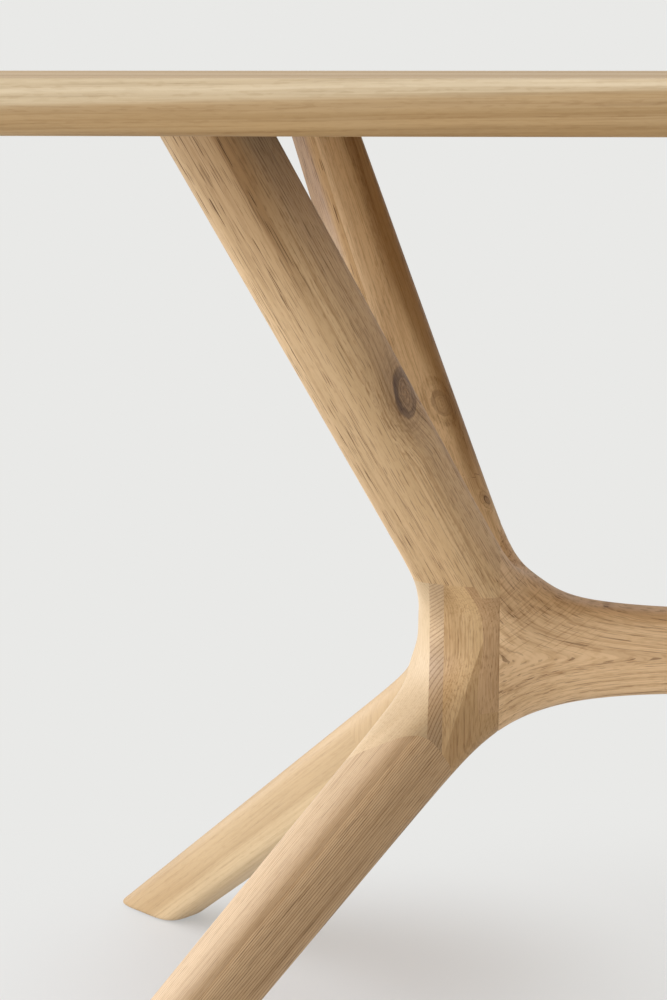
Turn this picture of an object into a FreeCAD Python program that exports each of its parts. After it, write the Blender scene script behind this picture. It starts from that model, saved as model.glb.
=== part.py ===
import FreeCAD, Part
import Sketcher
import math
import os

# Oak dining table. A top of glued boards stands on two sculpted end frames that one long
# stretcher ties together. Each end frame is two bent members, front and back, glued along the
# table's middle plane: an upper leg rises outwards to the top, a lower leg runs outwards to the
# floor, and a hub between them carries the stretcher. X runs along the table, Y across it and
# Z up; the origin is on the floor under the middle of the top. Lengths are millimetres.
V = FreeCAD.Vector
UP = V(0, 0, 1)

doc = FreeCAD.newDocument("oak_dining_table")
sheet = doc.addObject("Spreadsheet::Sheet", "Sizes")

SIZES = (
    # the top
    ("top_length", 2200),
    ("top_width", 1000),
    ("top_height", 760),
    ("top_thick", 32),
    ("board_count", 7),
    ("top_arris", 2.5),
    ("under_round", 14),
    ("corner_round", 20),
    # where the frame's axes run: the hub's distance from the table's end, the two fork points on
    # the hub's upright axis, and the reach of the legs from that axis
    ("hub_inset", 500),
    ("upper_fork", 353),
    ("lower_fork", 308),
    ("upper_reach_x", 158),
    ("upper_reach_y", 400),
    ("lower_reach_x", 297),
    ("lower_reach_y", 296),
    # leg sections, level width by depth, at the fork and at the tip
    ("upper_root_wide", 68),
    ("upper_root_deep", 46),
    ("upper_tip_wide", 53),
    ("upper_tip_deep", 50),
    ("lower_root_wide", 64.5),
    ("lower_root_deep", 59.5),
    ("lower_tip_wide", 49),
    ("lower_tip_deep", 48.5),
    ("lower_roll", 4),
    ("section_power", 3.55),
    ("blend", 10.9),
    # the stretcher and the flare of its ends
    ("stretcher_high", 62),
    ("stretcher_thick", 52),
    ("stretcher_drop", 8),
    ("flare", 11.2),
    ("flare_reach", 94),
    # glue joints of the hub
    ("shoulder", 13),
    ("hub_rise", 33),
    ("inner_sink", 11),
    ("key_inset", 29),
    ("key_thick", 11),
    ("wedge_start", 27),
    ("wedge_turn", 30),
    ("wedge_drop", 25),
    ("flank_reach", 114),
    ("flank_lean", 26),
    ("stave_turn", 45),
    # dowels
    ("leg_dowel_width", 16),
    ("leg_dowel_sunk", 30),
    ("leg_dowel_raised", 50),
    ("hub_dowel_width", 10),
    ("hub_dowel_length", 50),
    ("hub_dowel_inset", 18),
    ("hub_dowel_spread", 37),
    ("tie_dowel_sunk", 20),
    ("tie_dowel_raised", 40),
    ("tie_dowel_apart", 26),
    ("tie_dowel_spread", 36),
    ("dowel_room", 0.1),
    ("dowel_end_room", 1),
    ("dowel_chamfer", 1),
    # steel mounting plates under the top, their bolts into the legs and screws into the boards
    ("plate_long", 140),
    ("plate_wide", 76),
    ("plate_thick", 6),
    ("plate_room", 1),
    ("bolt_width", 8),
    ("bolt_length", 30),
    ("bolt_head_high", 4),
    ("bolt_hole_width", 9),
    ("bolt_inset", 14),
    ("bolt_apart", 26),
    ("bolt_end_room", 2),
    ("insert_width", 12),
    ("insert_length", 22),
    ("insert_room", 0.1),
    ("screw_width", 5),
    ("screw_length", 20),
    ("screw_head_width", 10),
    ("screw_head_high", 3),
    ("screw_head_room", 0.5),
    ("screw_end_room", 1),
    ("slot_wide", 6),
    ("slot_long", 12),
    ("slot_apart_x", 104),
    ("slot_apart_y", 44),
    # felt pads let into the feet
    ("pad_width", 34),
    ("pad_thick", 3),
    ("pad_proud", 1),
    ("pad_room", 0.2),
)
for row, (alias, size) in enumerate(SIZES, 1):
    sheet.set("A%d" % row, alias.replace("_", " "))
    sheet.set("B%d" % row, str(size))
    sheet.setAlias("B%d" % row, alias)
doc.recompute()


def dim(alias):
    """The value of one size in the sheet."""
    return float(sheet.get(alias))


def turn(alias):
    """An angle of the sheet in radians."""
    return math.radians(dim(alias))


UNDERSIDE = dim("top_height") - dim("top_thick")
HUB_X = dim("top_length") / 2 - dim("hub_inset")
HUB_TOP = dim("upper_fork") + dim("hub_rise")
TIE_LEVEL = (dim("upper_fork") + dim("lower_fork")) / 2 - dim("stretcher_drop")
BOARD_WIDE = dim("top_width") / dim("board_count")
SECTION_POWER = dim("section_power")


# The sculpted form. Five bars meet at a hub and melt into each other: the field below is zero on
# the finished surface, negative inside it. It is worked out in the hub's own frame, where the
# hub's upright axis is X = Y = 0, the legs run towards -X and the stretcher towards +X.
class Bar:
    """A straight tapered bar of rounded-square section from a fork point to its tip."""

    def __init__(self, root, tip, kind, roll):
        self.root = root
        self.length = (tip - root).Length
        self.axis = (tip - root) / self.length
        level = UP.cross(self.axis)
        level.normalize()
        steep = self.axis.cross(level)
        self.level = level * math.cos(roll) + steep * math.sin(roll)
        self.steep = steep * math.cos(roll) - level * math.sin(roll)
        self.wide = (dim(kind + "_root_wide") / 2, dim(kind + "_tip_wide") / 2)
        self.deep = (dim(kind + "_root_deep") / 2, dim(kind + "_tip_deep") / 2)

    def at(self, run):
        """The point of the axis that lies run along it from the fork."""
        return self.root + self.axis * run

    def distance(self, point):
        """About how far a point stands outside the bar; the fork end is domed."""
        power = SECTION_POWER
        off = point - self.root
        run = off.dot(self.axis)
        share = max(run / self.length, 0)
        wide = self.wide[0] + (self.wide[1] - self.wide[0]) * share
        deep = self.deep[0] + (self.deep[1] - self.deep[0]) * share
        mean = (wide + deep) / 2
        size = (abs(off.dot(self.level)) / wide) ** power
        size += (abs(off.dot(self.steep)) / deep) ** power
        size += (max(-run, 0) / mean) ** power
        return (size ** (1 / power) - 1) * mean


class Tie:
    """The stretcher's bar, level along +X from the hub, higher and thicker near the hub."""

    def __init__(self):
        self.high = dim("stretcher_high") / 2
        self.thick = dim("stretcher_thick") / 2
        self.mean = (self.high + self.thick) / 2
        self.flare = dim("flare")
        self.reach = dim("flare_reach")

    def distance(self, point):
        """About how far a point stands outside the stretcher; the hub end is domed."""
        power = SECTION_POWER
        swell = self.flare * math.exp(-(max(point.x, 0) / self.reach) ** 2)
        size = (abs(point.y) / (self.thick + swell / 2)) ** power
        size += (abs(point.z - TIE_LEVEL) / (self.high + swell)) ** power
        size += (max(-point.x, 0) / self.mean) ** power
        return (size ** (1 / power) - 1) * self.mean


UPPER_FORK = V(0, 0, dim("upper_fork"))
LOWER_FORK = V(0, 0, dim("lower_fork"))


def leg_pair(side):
    """Upper and lower leg bars of the front (-1) or back (1) member."""
    upper_tip = V(-dim("upper_reach_x"), side * dim("upper_reach_y"), UNDERSIDE)
    lower_tip = V(-dim("lower_reach_x"), side * dim("lower_reach_y"), 0)
    return (Bar(UPPER_FORK, upper_tip, "upper", 0),
            Bar(LOWER_FORK, lower_tip, "lower", -side * turn("lower_roll")))


UPPER, LOWER = leg_pair(-1)
BACK_LEGS = leg_pair(1)
TIE = Tie()


def melt(distances):
    """Smooth union of several distances: each neighbour within the blend swells the surface."""
    blend = dim("blend")
    least = min(distances)
    return least - blend * math.log(sum(math.exp((least - d) / blend) for d in distances))


def member_field(point):
    """Field of the front member. Beyond the glue planes of the hub the neighbouring bars fade
    quickly, so that a section through the member always closes."""
    held = V(min(point.x, dim("shoulder")), min(point.y, 0), point.z)
    fade = 2 * (point - held).Length
    near = [bar.distance(point) for bar in (UPPER, LOWER)]
    return melt(near + [bar.distance(held) + fade for bar in BACK_LEGS + (TIE,)])


def tie_field(point):
    """Field of the stretcher's end, with all four legs."""
    return melt([bar.distance(point) for bar in (UPPER, LOWER, TIE) + BACK_LEGS])


SECTION_POINTS = 32
SECTION_ANGLES = [2 * math.pi * k / SECTION_POINTS for k in range(SECTION_POINTS)]
MARCH = dim("blend") / 2
HALVINGS = 14


def surface_point(field, centre, direction):
    """Where a ray from inside first leaves the form."""
    far = MARCH
    while field(centre + direction * far) < 0:
        far += MARCH
    near = far - MARCH
    for _ in range(HALVINGS):
        middle = (near + far) / 2
        if field(centre + direction * middle) < 0:
            near = middle
        else:
            far = middle
    return centre + direction * (near + far) / 2


def section(field, centre, first, second):
    """Points of the form's outline in the plane of two unit vectors through centre."""
    return [surface_point(field, centre, first * math.cos(a) + second * math.sin(a))
            for a in SECTION_ANGLES]


def skin(sections):
    """Solid with a smooth side through closed outlines and flat ends on the first and last."""
    rounds = []
    marks = [k / SECTION_POINTS for k in range(SECTION_POINTS + 1)]
    for points in sections:
        curve = Part.BSplineCurve()
        curve.interpolate(Points=points, PeriodicFlag=True, Parameters=marks)
        rounds.append(curve)
    gaps = [sum((a - b).Length for a, b in zip(*pair)) for pair in zip(sections, sections[1:])]
    reach = [sum(gaps[:k]) / sum(gaps) for k in range(len(sections))]
    lengthwise = []
    for poles in zip(*(curve.getPoles() for curve in rounds)):
        curve = Part.BSplineCurve()
        curve.interpolate(Points=list(poles), Parameters=reach)
        lengthwise.append(curve)
    side = Part.BSplineSurface()
    grid = [list(row) for row in zip(*(curve.getPoles() for curve in lengthwise))]
    side.buildFromPolesMultsKnots(grid, lengthwise[0].getMultiplicities(),
                                  rounds[0].getMultiplicities(), lengthwise[0].getKnots(),
                                  rounds[0].getKnots(), False, True,
                                  lengthwise[0].Degree, rounds[0].Degree)
    face = side.toShape()
    rims = [edge for edge in face.Edges if edge.Closed]
    shell = Part.makeShell([face] + [Part.Face(Part.Wire([edge])) for edge in rims])
    shell.sewShape()
    return Part.Solid(shell)


def member_form():
    """The whole front member, from above the top's underside to below the floor."""
    bend = 0.7 * dim("flank_reach")
    grip = bend / 4
    spare = 0.9 * dim("upper_tip_deep")
    spread = (0, 0.04, 0.1, 0.18, 0.3, 0.5, 0.75, 1)
    corners = (UPPER.at(bend), UPPER.at(grip), LOWER.at(grip), LOWER.at(bend))
    stations = [(UPPER.at(bend + (UPPER.length + spare - bend) * share), -UPPER.axis)
                for share in reversed(spread)]
    bend_steps = 11
    for step in range(1, bend_steps):
        share = step / bend_steps
        weights = ((1 - share) ** 3, 3 * share * (1 - share) ** 2,
                   3 * share ** 2 * (1 - share), share ** 3)
        place = sum((c * w for c, w in zip(corners, weights)), V())
        rates = ((1 - share) ** 2, 2 * share * (1 - share), share ** 2)
        heading = sum(((b - a) * w for a, b, w in zip(corners, corners[1:], rates)), V())
        stations.append((place, heading))
    stations += [(LOWER.at(bend + (LOWER.length + spare - bend) * share), LOWER.axis)
                 for share in spread]
    flat = UPPER.axis.cross(LOWER.axis)
    outlines = []
    for place, heading in stations:
        heading.normalize()
        first = flat - heading * flat.dot(heading)
        first.normalize()
        outlines.append(section(member_field, place, first, heading.cross(first)))
    return skin(outlines)


def tie_form():
    """The whole stretcher with a flared end at each hub, in the table's frame."""
    spread = (0, 0.06, 0.15, 0.27, 0.42, 0.6, 0.85, 1.2, 1.7, 2.4)
    starts = [dim("shoulder") + dim("flare_reach") * share for share in spread]
    left = []
    right = []
    for x in starts:
        outline = section(tie_field, V(x, 0, TIE_LEVEL), V(0, 1, 0), UP)
        left.append([V(p.x - HUB_X, p.y, p.z) for p in outline])
        right.append([V(HUB_X - p.x, p.y, p.z) for p in outline])
    return skin(left + right[::-1])


# Cutting tools
def half(point, normal):
    """Everything on the far side of a plane, as a large box."""
    size = 2 * dim("top_length")
    box = Part.makeBox(size, size, size, V(-size / 2, -size / 2, 0))
    box.Placement = FreeCAD.Placement(point, FreeCAD.Rotation(UP, normal))
    return box


def within(*halves):
    """The space that lies in all of several half spaces."""
    space = halves[0]
    for other in halves[1:]:
        space = space.common(other)
    return space


def rod(start, axis, width, length):
    """A round bar or the tool for a round hole."""
    return Part.makeCylinder(width / 2, length, start, axis)


def dowel(start, axis, width, length):
    """A round dowel with chamfered ends and the tool for the hole that takes it."""
    pin = rod(start, axis, width, length)
    rims = [edge for edge in pin.Edges if edge.Closed]
    pin = pin.makeChamfer(dim("dowel_chamfer"), rims)
    spare = dim("dowel_end_room")
    hole = rod(start - axis * spare, axis, width + 2 * dim("dowel_room"), length + 2 * spare)
    return pin, hole


def in_all(shape):
    """A shape of the left front quarter and its mirror images in the other three quarters."""
    pair = [shape, shape.mirror(V(), V(0, 1, 0))]
    return pair + [one.mirror(V(), V(1, 0, 0)) for one in pair]


def at_both_ends(shape):
    """A shape of the left end and its mirror image at the right end."""
    return [shape, shape.mirror(V(), V(1, 0, 0))]


# Finished pieces, in the order of their files
pieces = []


def solid_piece(label, shape, place=V()):
    """A piece whose shape is worked out here, such as a sculpted one or a group of fasteners."""
    piece = doc.addObject("Part::Feature", label)
    piece.Label = label
    piece.Shape = shape
    piece.Placement = FreeCAD.Placement(place, FreeCAD.Rotation())
    pieces.append(piece)
    return piece


def mirrored(label, source, normal):
    """The mirror image of a piece in the table's middle plane across the given direction."""
    image = doc.addObject("Part::Mirroring", label)
    image.Label = label
    image.Source = source
    image.Base = V()
    image.Normal = normal
    pieces.append(image)
    return image


def in_four(name, source):
    """The other three quarters' copies of a left front piece."""
    back = mirrored("left_back_" + name, source, V(0, 1, 0))
    mirrored("right_front_" + name, source, V(1, 0, 0))
    mirrored("right_back_" + name, back, V(1, 0, 0))


# Joints of the left front member, in the hub's frame
hub = V(-HUB_X, 0, 0)
SHOULDER = half(V(dim("shoulder"), 0, 0), V(-1, 0, 0))
FRONT = half(V(), V(0, -1, 0))
FLANK_POINT = LOWER.at(dim("flank_reach"))
FLANK_NORMAL = V(0, -math.cos(turn("flank_lean")), -math.sin(turn("flank_lean")))
HUB_SPACE = within(half(V(0, 0, HUB_TOP), -UP), half(FLANK_POINT, -FLANK_NORMAL), SHOULDER)
KEY_INNER = V(-dim("key_inset"), 0, 0)
KEY_OUTER = V(-dim("key_inset") - dim("key_thick"), 0, 0)
WEDGE_EDGE = V(dim("shoulder"), -dim("wedge_start"), 0)
WEDGE_NORMAL = V(math.cos(turn("wedge_turn")), -math.sin(turn("wedge_turn")), 0)
WEDGE_LOW = V(0, 0, dim("lower_fork") - dim("wedge_drop"))
INNER_SEAT = V(0, 0, HUB_TOP - dim("inner_sink"))
WEDGE_SPACE = within(half(WEDGE_EDGE, WEDGE_NORMAL), half(WEDGE_LOW, UP), half(INNER_SEAT, -UP))

# dowels: one along each leg across its glue joint, two across the middle plane of each hub and
# four from each hub into the stretcher
upper_joint = dim("hub_rise") / UPPER.axis.z
upper_pin, upper_hole = dowel(UPPER.at(upper_joint - dim("leg_dowel_sunk")), UPPER.axis,
                              dim("leg_dowel_width"),
                              dim("leg_dowel_sunk") + dim("leg_dowel_raised"))
lower_pin, lower_hole = dowel(LOWER.at(dim("flank_reach") - dim("leg_dowel_sunk")), LOWER.axis,
                              dim("leg_dowel_width"),
                              dim("leg_dowel_sunk") + dim("leg_dowel_raised"))
hub_pins = []
for level in (-1, 1):
    start = V(-dim("hub_dowel_inset"), -dim("hub_dowel_length") / 2,
              TIE_LEVEL + level * dim("hub_dowel_spread") / 2)
    hub_pins.append(dowel(start, V(0, 1, 0), dim("hub_dowel_width"), dim("hub_dowel_length")))
tie_pins = []
for level in (-1, 1):
    start = V(dim("shoulder") - dim("tie_dowel_sunk"), -dim("tie_dowel_apart") / 2,
              TIE_LEVEL + level * dim("tie_dowel_spread") / 2)
    tie_pins.append(dowel(start, V(1, 0, 0), dim("hub_dowel_width"),
                          dim("tie_dowel_sunk") + dim("tie_dowel_raised")))

# bolts into the top end of the upper leg, set towards the hub and to each side of the leg
LEG_TOP = V(-dim("upper_reach_x"), -dim("upper_reach_y"), UNDERSIDE)
inward = V(dim("upper_reach_x"), dim("upper_reach_y"), 0)
inward.normalize()
aside = V(inward.y, -inward.x, 0)
BOLT_SPOTS = [inward * dim("bolt_inset") + aside * side * dim("bolt_apart") / 2
              for side in (-1, 1)]
bolt_depth = dim("bolt_length") - dim("plate_thick") + dim("bolt_end_room")
bolt_holes = [rod(LEG_TOP + spot, -UP, dim("insert_width") + 2 * dim("insert_room"), bolt_depth)
              for spot in BOLT_SPOTS]
PAD_SPOT = V(-dim("lower_reach_x"), -dim("lower_reach_y"), 0)
pad_hole = rod(PAD_SPOT, UP, dim("pad_width") + 2 * dim("pad_room"), dim("pad_thick"))

# The sculpted pieces of the left front member. Each leg is glued up from two staves along a plane
# through its axis; the inner stave of the upper leg is let a little deeper into the hub.
turned = turn("stave_turn")
UPPER_SEAM = UPPER.level * math.cos(turned) + UPPER.steep * math.sin(turned)
LOWER_SEAM = LOWER.level * math.cos(turned) - LOWER.steep * math.sin(turned)
INNER_ROOM = within(half(UPPER_FORK, UPPER_SEAM), half(INNER_SEAT, UP))
member = member_form()
upper_form = member.common(within(half(INNER_SEAT, UP), half(V(0, 0, UNDERSIDE), -UP),
                                  FRONT, SHOULDER))
upper_form = upper_form.cut(within(half(V(0, 0, HUB_TOP), -UP), half(UPPER_FORK, -UPPER_SEAM)))
upper_form = upper_form.cut([upper_hole] + bolt_holes)
lower_form = member.common(within(half(FLANK_POINT, FLANK_NORMAL), half(LOWER_FORK, -UP),
                                  half(V(0, 0, dim("pad_proud")), UP), FRONT))
lower_form = lower_form.cut([lower_hole, pad_hole])
hub_form = member.common(within(HUB_SPACE, FRONT)).cut(INNER_ROOM)
hub_form = hub_form.cut([upper_hole, lower_hole] + [hole for _, hole in hub_pins + tie_pins])

for name, form, bar, seam in (("upper_leg", upper_form, UPPER, UPPER_SEAM),
                              ("lower_leg", lower_form, LOWER, LOWER_SEAM)):
    for stave, way in (("outer_stave", -1), ("inner_stave", 1)):
        shape = form.common(half(bar.root, seam * way))
        piece = solid_piece("left_front_%s_%s" % (name, stave), shape, hub)
        in_four("%s_%s" % (name, stave), piece)

# the hub: an outer cheek, a cross-grained key that runs through to the back, a main block and a
# wedge beside the stretcher's shoulder
hub_pieces = (
    ("hub_cheek", hub_form.common(half(KEY_OUTER, V(-1, 0, 0)))),
    ("hub_block", hub_form.common(half(KEY_INNER, V(1, 0, 0))).cut(WEDGE_SPACE)),
    ("hub_wedge", hub_form.common(WEDGE_SPACE)),
)
for name, shape in hub_pieces:
    piece = solid_piece("left_front_" + name, shape, hub)
    in_four(name, piece)
front_key = hub_form.common(within(half(KEY_OUTER, V(1, 0, 0)), half(KEY_INNER, V(-1, 0, 0))))
key = front_key.fuse(front_key.mirror(V(), V(0, 1, 0))).removeSplitter()
left_key = solid_piece("left_hub_key", key, hub)
mirrored("right_hub_key", left_key, V(1, 0, 0))

# the stretcher
tie_holes = []
for _, hole in tie_pins:
    hole = hole.copy()
    hole.translate(hub)
    tie_holes += in_all(hole)
solid_piece("stretcher", tie_form().cut(tie_holes))


# Sketch helpers for the flat pieces
def sketch_on(body, role, name):
    """A sketch on one of the body's own origin planes."""
    plane = [p for p in body.Origin.OriginFeatures if p.Role == role][0]
    sketch = body.newObject("Sketcher::SketchObject", name)
    sketch.AttachmentSupport = [(plane, "")]
    sketch.MapMode = "FlatFace"
    return sketch


def value(expression):
    """The number that an expression of the sheet comes to."""
    return float(sheet.evalExpression(expression))


def bind(sketch, kind, args, expression):
    """Add one sized constraint and tie it to the sheet."""
    index = sketch.addConstraint(Sketcher.Constraint(kind, *args, value(expression)))
    sketch.setExpression("Constraints[%d]" % index, expression)


def place_point(sketch, item, end, x_expression, y_expression):
    """Set a sketch point from the origin by two signed expressions."""
    for kind, expression in (("DistanceX", x_expression), ("DistanceY", y_expression)):
        bind(sketch, kind, (-1, 1, item, end), expression)


def rectangle(sketch, x_middle, y_middle, x_size, y_size):
    """A rectangle set by its middle and its two sizes, all as expressions."""
    middle = V(value(x_middle), value(y_middle), 0)
    reach = V(value(x_size) / 2, value(y_size) / 2, 0)
    across = V(reach.x, -reach.y, 0)
    corners = (middle - reach, middle + across, middle + reach, middle - across)
    first = sketch.GeometryCount
    for k in range(4):
        sketch.addGeometry(Part.LineSegment(corners[k], corners[(k + 1) % 4]))
    for k in range(4):
        sketch.addConstraint(Sketcher.Constraint("Coincident", first + k, 2, first + (k + 1) % 4, 1))
        sketch.addConstraint(Sketcher.Constraint("Vertical" if k % 2 else "Horizontal", first + k))
    place_point(sketch, first, 1, "%s - (%s) / 2" % (x_middle, x_size),
                "%s - (%s) / 2" % (y_middle, y_size))
    place_point(sketch, first + 2, 1, "%s + (%s) / 2" % (x_middle, x_size),
                "%s + (%s) / 2" % (y_middle, y_size))


def circle(sketch, x_middle, y_middle, width):
    """A circle set by its middle and its width, all as expressions."""
    middle = V(value(x_middle), value(y_middle), 0)
    item = sketch.addGeometry(Part.Circle(middle, UP, value(width) / 2))
    bind(sketch, "Diameter", (item,), width)
    place_point(sketch, item, 3, x_middle, y_middle)


def slot(sketch, x_middle, y_middle, length, width):
    """A slot along Y set by its middle, its length and its width, all as expressions."""
    middle = V(value(x_middle), value(y_middle), 0)
    radius = value(width) / 2
    reach = V(0, value(length) / 2 - radius, 0)
    ends = []
    for side, start in ((1, 0.0), (-1, math.pi)):
        round_end = Part.Circle(middle + reach * side, UP, radius)
        item = sketch.addGeometry(Part.ArcOfCircle(round_end, start, start + math.pi))
        bind(sketch, "Radius", (item,), "(%s) / 2" % width)
        place_point(sketch, item, 3, x_middle,
                    "%s + (%d) * (%s - %s) / 2" % (y_middle, side, length, width))
        ends.append(item)
    for far, near, way in ((2, 1, -1), (1, 2, 1)):
        wall_middle = middle + V(way * radius, 0, 0)
        wall = sketch.addGeometry(Part.LineSegment(wall_middle + reach, wall_middle - reach))
        sketch.addConstraint(Sketcher.Constraint("Tangent", ends[0], far, wall, 1))
        sketch.addConstraint(Sketcher.Constraint("Tangent", ends[1], near, wall, 2))


def pad(body, sketch, name, length):
    """Raise a sketch by a length given as an expression."""
    feature = body.newObject("PartDesign::Pad", name)
    feature.Profile = sketch
    feature.setExpression("Length", length)
    doc.recompute()
    return feature


def pocket(body, sketch, name, depth):
    """Cut a sketch of the bottom plane upwards by a depth given as an expression."""
    before = body.Shape.Volume
    feature = body.newObject("PartDesign::Pocket", name)
    feature.Profile = sketch
    feature.Reversed = True
    feature.setExpression("Length", depth)
    doc.recompute()
    if body.Shape.Volume > before - 1:
        raise RuntimeError("%s cut nothing" % name)
    return feature


def soften(body, kind, name, base, picks, size, expression):
    """Round or chamfer the edges of a feature that a test picks."""
    names = ["Edge%d" % k for k, edge in enumerate(base.Shape.Edges, 1) if picks(edge)]
    feature = body.newObject("PartDesign::" + kind, name)
    feature.Base = (base, names)
    feature.setExpression(size, expression)
    doc.recompute()
    return feature


# The boards of the top. Each lies along X; the outer two also carry the long rounded edges and
# the recesses for the mounting plates. The back one is the front one turned round.
LEG_TOP_X = "(Sizes.top_length / 2 - Sizes.hub_inset + Sizes.upper_reach_x)"
UNDER = "Sizes.top_height - Sizes.top_thick"
NEAR = 0.01


def along(edge, axis, value):
    """Whether all of an edge lies at one coordinate."""
    return all(abs(getattr(v.Point, axis) - value) < NEAR for v in edge.Vertexes)


def board(number):
    """One board of the top, counted from the front edge."""
    count = int(dim("board_count"))
    label = "top_board_%d" % (number + 1)
    body = doc.addObject("PartDesign::Body", label)
    body.Label = label
    outline = sketch_on(body, "XY_Plane", label + "_outline")
    wide = "(Sizes.top_width / Sizes.board_count)"
    rectangle(outline, "0", "0", "Sizes.top_length", wide)
    shape = pad(body, outline, label + "_stock", "Sizes.top_thick")
    half_long = dim("top_length") / 2
    outer = number in (0, count - 1)
    back = number == count - 1
    edge_y = -BOARD_WIDE / 2
    if outer:
        shape = soften(body, "Fillet", label + "_corners", shape,
                       lambda e: along(e, "y", edge_y) and e.BoundBox.ZLength > 1,
                       "Radius", "Sizes.corner_round")

    def rim(level):
        """Picks the outward edges of the board at one level."""
        def picks(edge):
            ends = along(edge, "x", half_long) or along(edge, "x", -half_long)
            curved = isinstance(edge.Curve, Part.Circle)
            side = outer and (along(edge, "y", edge_y) or curved)
            return along(edge, "z", level) and (ends or side)
        return picks

    shape = soften(body, "Fillet", label + "_arris", shape, rim(dim("top_thick")),
                   "Radius", "Sizes.top_arris")
    soften(body, "Fillet", label + "_under", shape, rim(0), "Radius", "Sizes.under_round")
    middle_y = (number + 0.5) * BOARD_WIDE - dim("top_width") / 2
    reach = dim("plate_wide") / 2 + dim("plate_room")
    if abs(dim("upper_reach_y") - abs(middle_y)) < reach + BOARD_WIDE / 2:
        from_edge = count - 1 - number if middle_y > 0 else number
        local_y = "(Sizes.top_width / 2 - Sizes.upper_reach_y - (%g) * %s)" % (from_edge + 0.5, wide)
        recess = sketch_on(body, "XY_Plane", label + "_recess")
        pilots = sketch_on(body, "XY_Plane", label + "_pilots")
        for end in (-1, 1):
            middle_x = "(%d) * %s" % (end, LEG_TOP_X)
            rectangle(recess, middle_x, local_y, "Sizes.plate_long + 2 * Sizes.plate_room",
                      "Sizes.plate_wide + 2 * Sizes.plate_room")
            for across in (-1, 1):
                for length in (-1, 1):
                    circle(pilots, middle_x + " + (%d) * Sizes.slot_apart_x / 2" % length,
                           local_y + " + (%d) * Sizes.slot_apart_y / 2" % across,
                           "Sizes.screw_width")
        pocket(body, recess, label + "_recess_cut", "Sizes.plate_thick")
        pocket(body, pilots, label + "_pilots_cut",
               "Sizes.screw_head_high + Sizes.screw_length + Sizes.screw_end_room")
    body.setExpression("Placement.Base.z", UNDER)
    body.setExpression("Placement.Base.y", "(%g) * %s - Sizes.top_width / 2" % (number + 0.5, wide))
    if middle_y > 0:
        body.Placement.Rotation = FreeCAD.Rotation(UP, 180)
    pieces.append(body)


for number in range(int(dim("board_count"))):
    board(number)

# The mounting plate over the left front leg, let in flush with the underside of the top
plate = doc.addObject("PartDesign::Body", "left_front_mount_plate")
plate.Label = "left_front_mount_plate"
outline = sketch_on(plate, "XY_Plane", "plate_outline")
rectangle(outline, "0", "0", "Sizes.plate_long", "Sizes.plate_wide")
pad(plate, outline, "plate_stock", "Sizes.plate_thick")
slots = sketch_on(plate, "XY_Plane", "plate_slots")
for across in (-1, 1):
    for length in (-1, 1):
        slot(slots, "(%d) * Sizes.slot_apart_x / 2" % length,
             "(%d) * Sizes.slot_apart_y / 2" % across, "Sizes.slot_long", "Sizes.slot_wide")
pocket(plate, slots, "plate_slots_cut", "Sizes.plate_thick")
seats = sketch_on(plate, "XY_Plane", "plate_head_seats")
spare = "(Sizes.screw_head_width + 2 * Sizes.screw_head_room - Sizes.slot_wide)"
for across in (-1, 1):
    for length in (-1, 1):
        slot(seats, "(%d) * Sizes.slot_apart_x / 2" % length,
             "(%d) * Sizes.slot_apart_y / 2" % across,
             "Sizes.slot_long + " + spare, "Sizes.slot_wide + " + spare)
pocket(plate, seats, "plate_seats_cut", "Sizes.screw_head_high")
bores = sketch_on(plate, "XY_Plane", "plate_bores")
reach = "sqrt(Sizes.upper_reach_x ^ 2 + Sizes.upper_reach_y ^ 2)"
for side in (-1, 1):
    step = "(%d) * Sizes.bolt_apart / 2" % side
    circle(bores,
           "(Sizes.bolt_inset * Sizes.upper_reach_x + %s * Sizes.upper_reach_y) / %s" % (step, reach),
           "(Sizes.bolt_inset * Sizes.upper_reach_y - %s * Sizes.upper_reach_x) / %s" % (step, reach),
           "Sizes.bolt_hole_width")
bored = pocket(plate, bores, "plate_bores_cut", "Sizes.plate_thick")
soften(plate, "Chamfer", "plate_countersinks", bored,
       lambda e: along(e, "z", dim("plate_thick")) and e.Closed
       and isinstance(e.Curve, Part.Circle), "Size", "Sizes.bolt_head_high")
plate.setExpression("Placement.Base.x", "-" + LEG_TOP_X)
plate.setExpression("Placement.Base.y", "-Sizes.upper_reach_y")
plate.setExpression("Placement.Base.z", UNDER)
pieces.append(plate)
in_four("mount_plate", plate)

# Fasteners, each kind one group of separate pieces
top_spot = LEG_TOP + hub
bolts = []
inserts = []
for spot in BOLT_SPOTS:
    head = top_spot + spot + UP * dim("plate_thick")
    low = dim("bolt_hole_width") / 2
    cone = Part.makeCone(low + dim("bolt_head_high"), low, dim("bolt_head_high"), head, -UP)
    shank = rod(head, -UP, dim("bolt_width"), dim("bolt_length"))
    bolts += in_all(cone.fuse(shank).removeSplitter())
    sleeve = rod(top_spot + spot, -UP, dim("insert_width"), dim("insert_length"))
    bore = rod(top_spot + spot, -UP, dim("bolt_width"), dim("insert_length"))
    inserts += in_all(sleeve.cut(bore))
solid_piece("leg_bolts", Part.makeCompound(bolts))
solid_piece("leg_inserts", Part.makeCompound(inserts))
screws = []
for across in (-1, 1):
    for length in (-1, 1):
        spot = top_spot + V(length * dim("slot_apart_x") / 2, across * dim("slot_apart_y") / 2, 0)
        head = rod(spot, UP, dim("screw_head_width"), dim("screw_head_high"))
        rims = [e for e in head.Edges if e.Closed and e.BoundBox.ZMax < UNDERSIDE + NEAR]
        head = head.makeFillet(dim("screw_head_high") / 2, rims)
        shank = rod(spot + UP * dim("screw_head_high"), UP, dim("screw_width"), dim("screw_length"))
        screws += in_all(head.fuse(shank).removeSplitter())
solid_piece("plate_screws", Part.makeCompound(screws))
leg_dowels = []
for pin in (upper_pin, lower_pin):
    pin.translate(hub)
    leg_dowels += in_all(pin)
solid_piece("leg_dowels", Part.makeCompound(leg_dowels))
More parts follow.
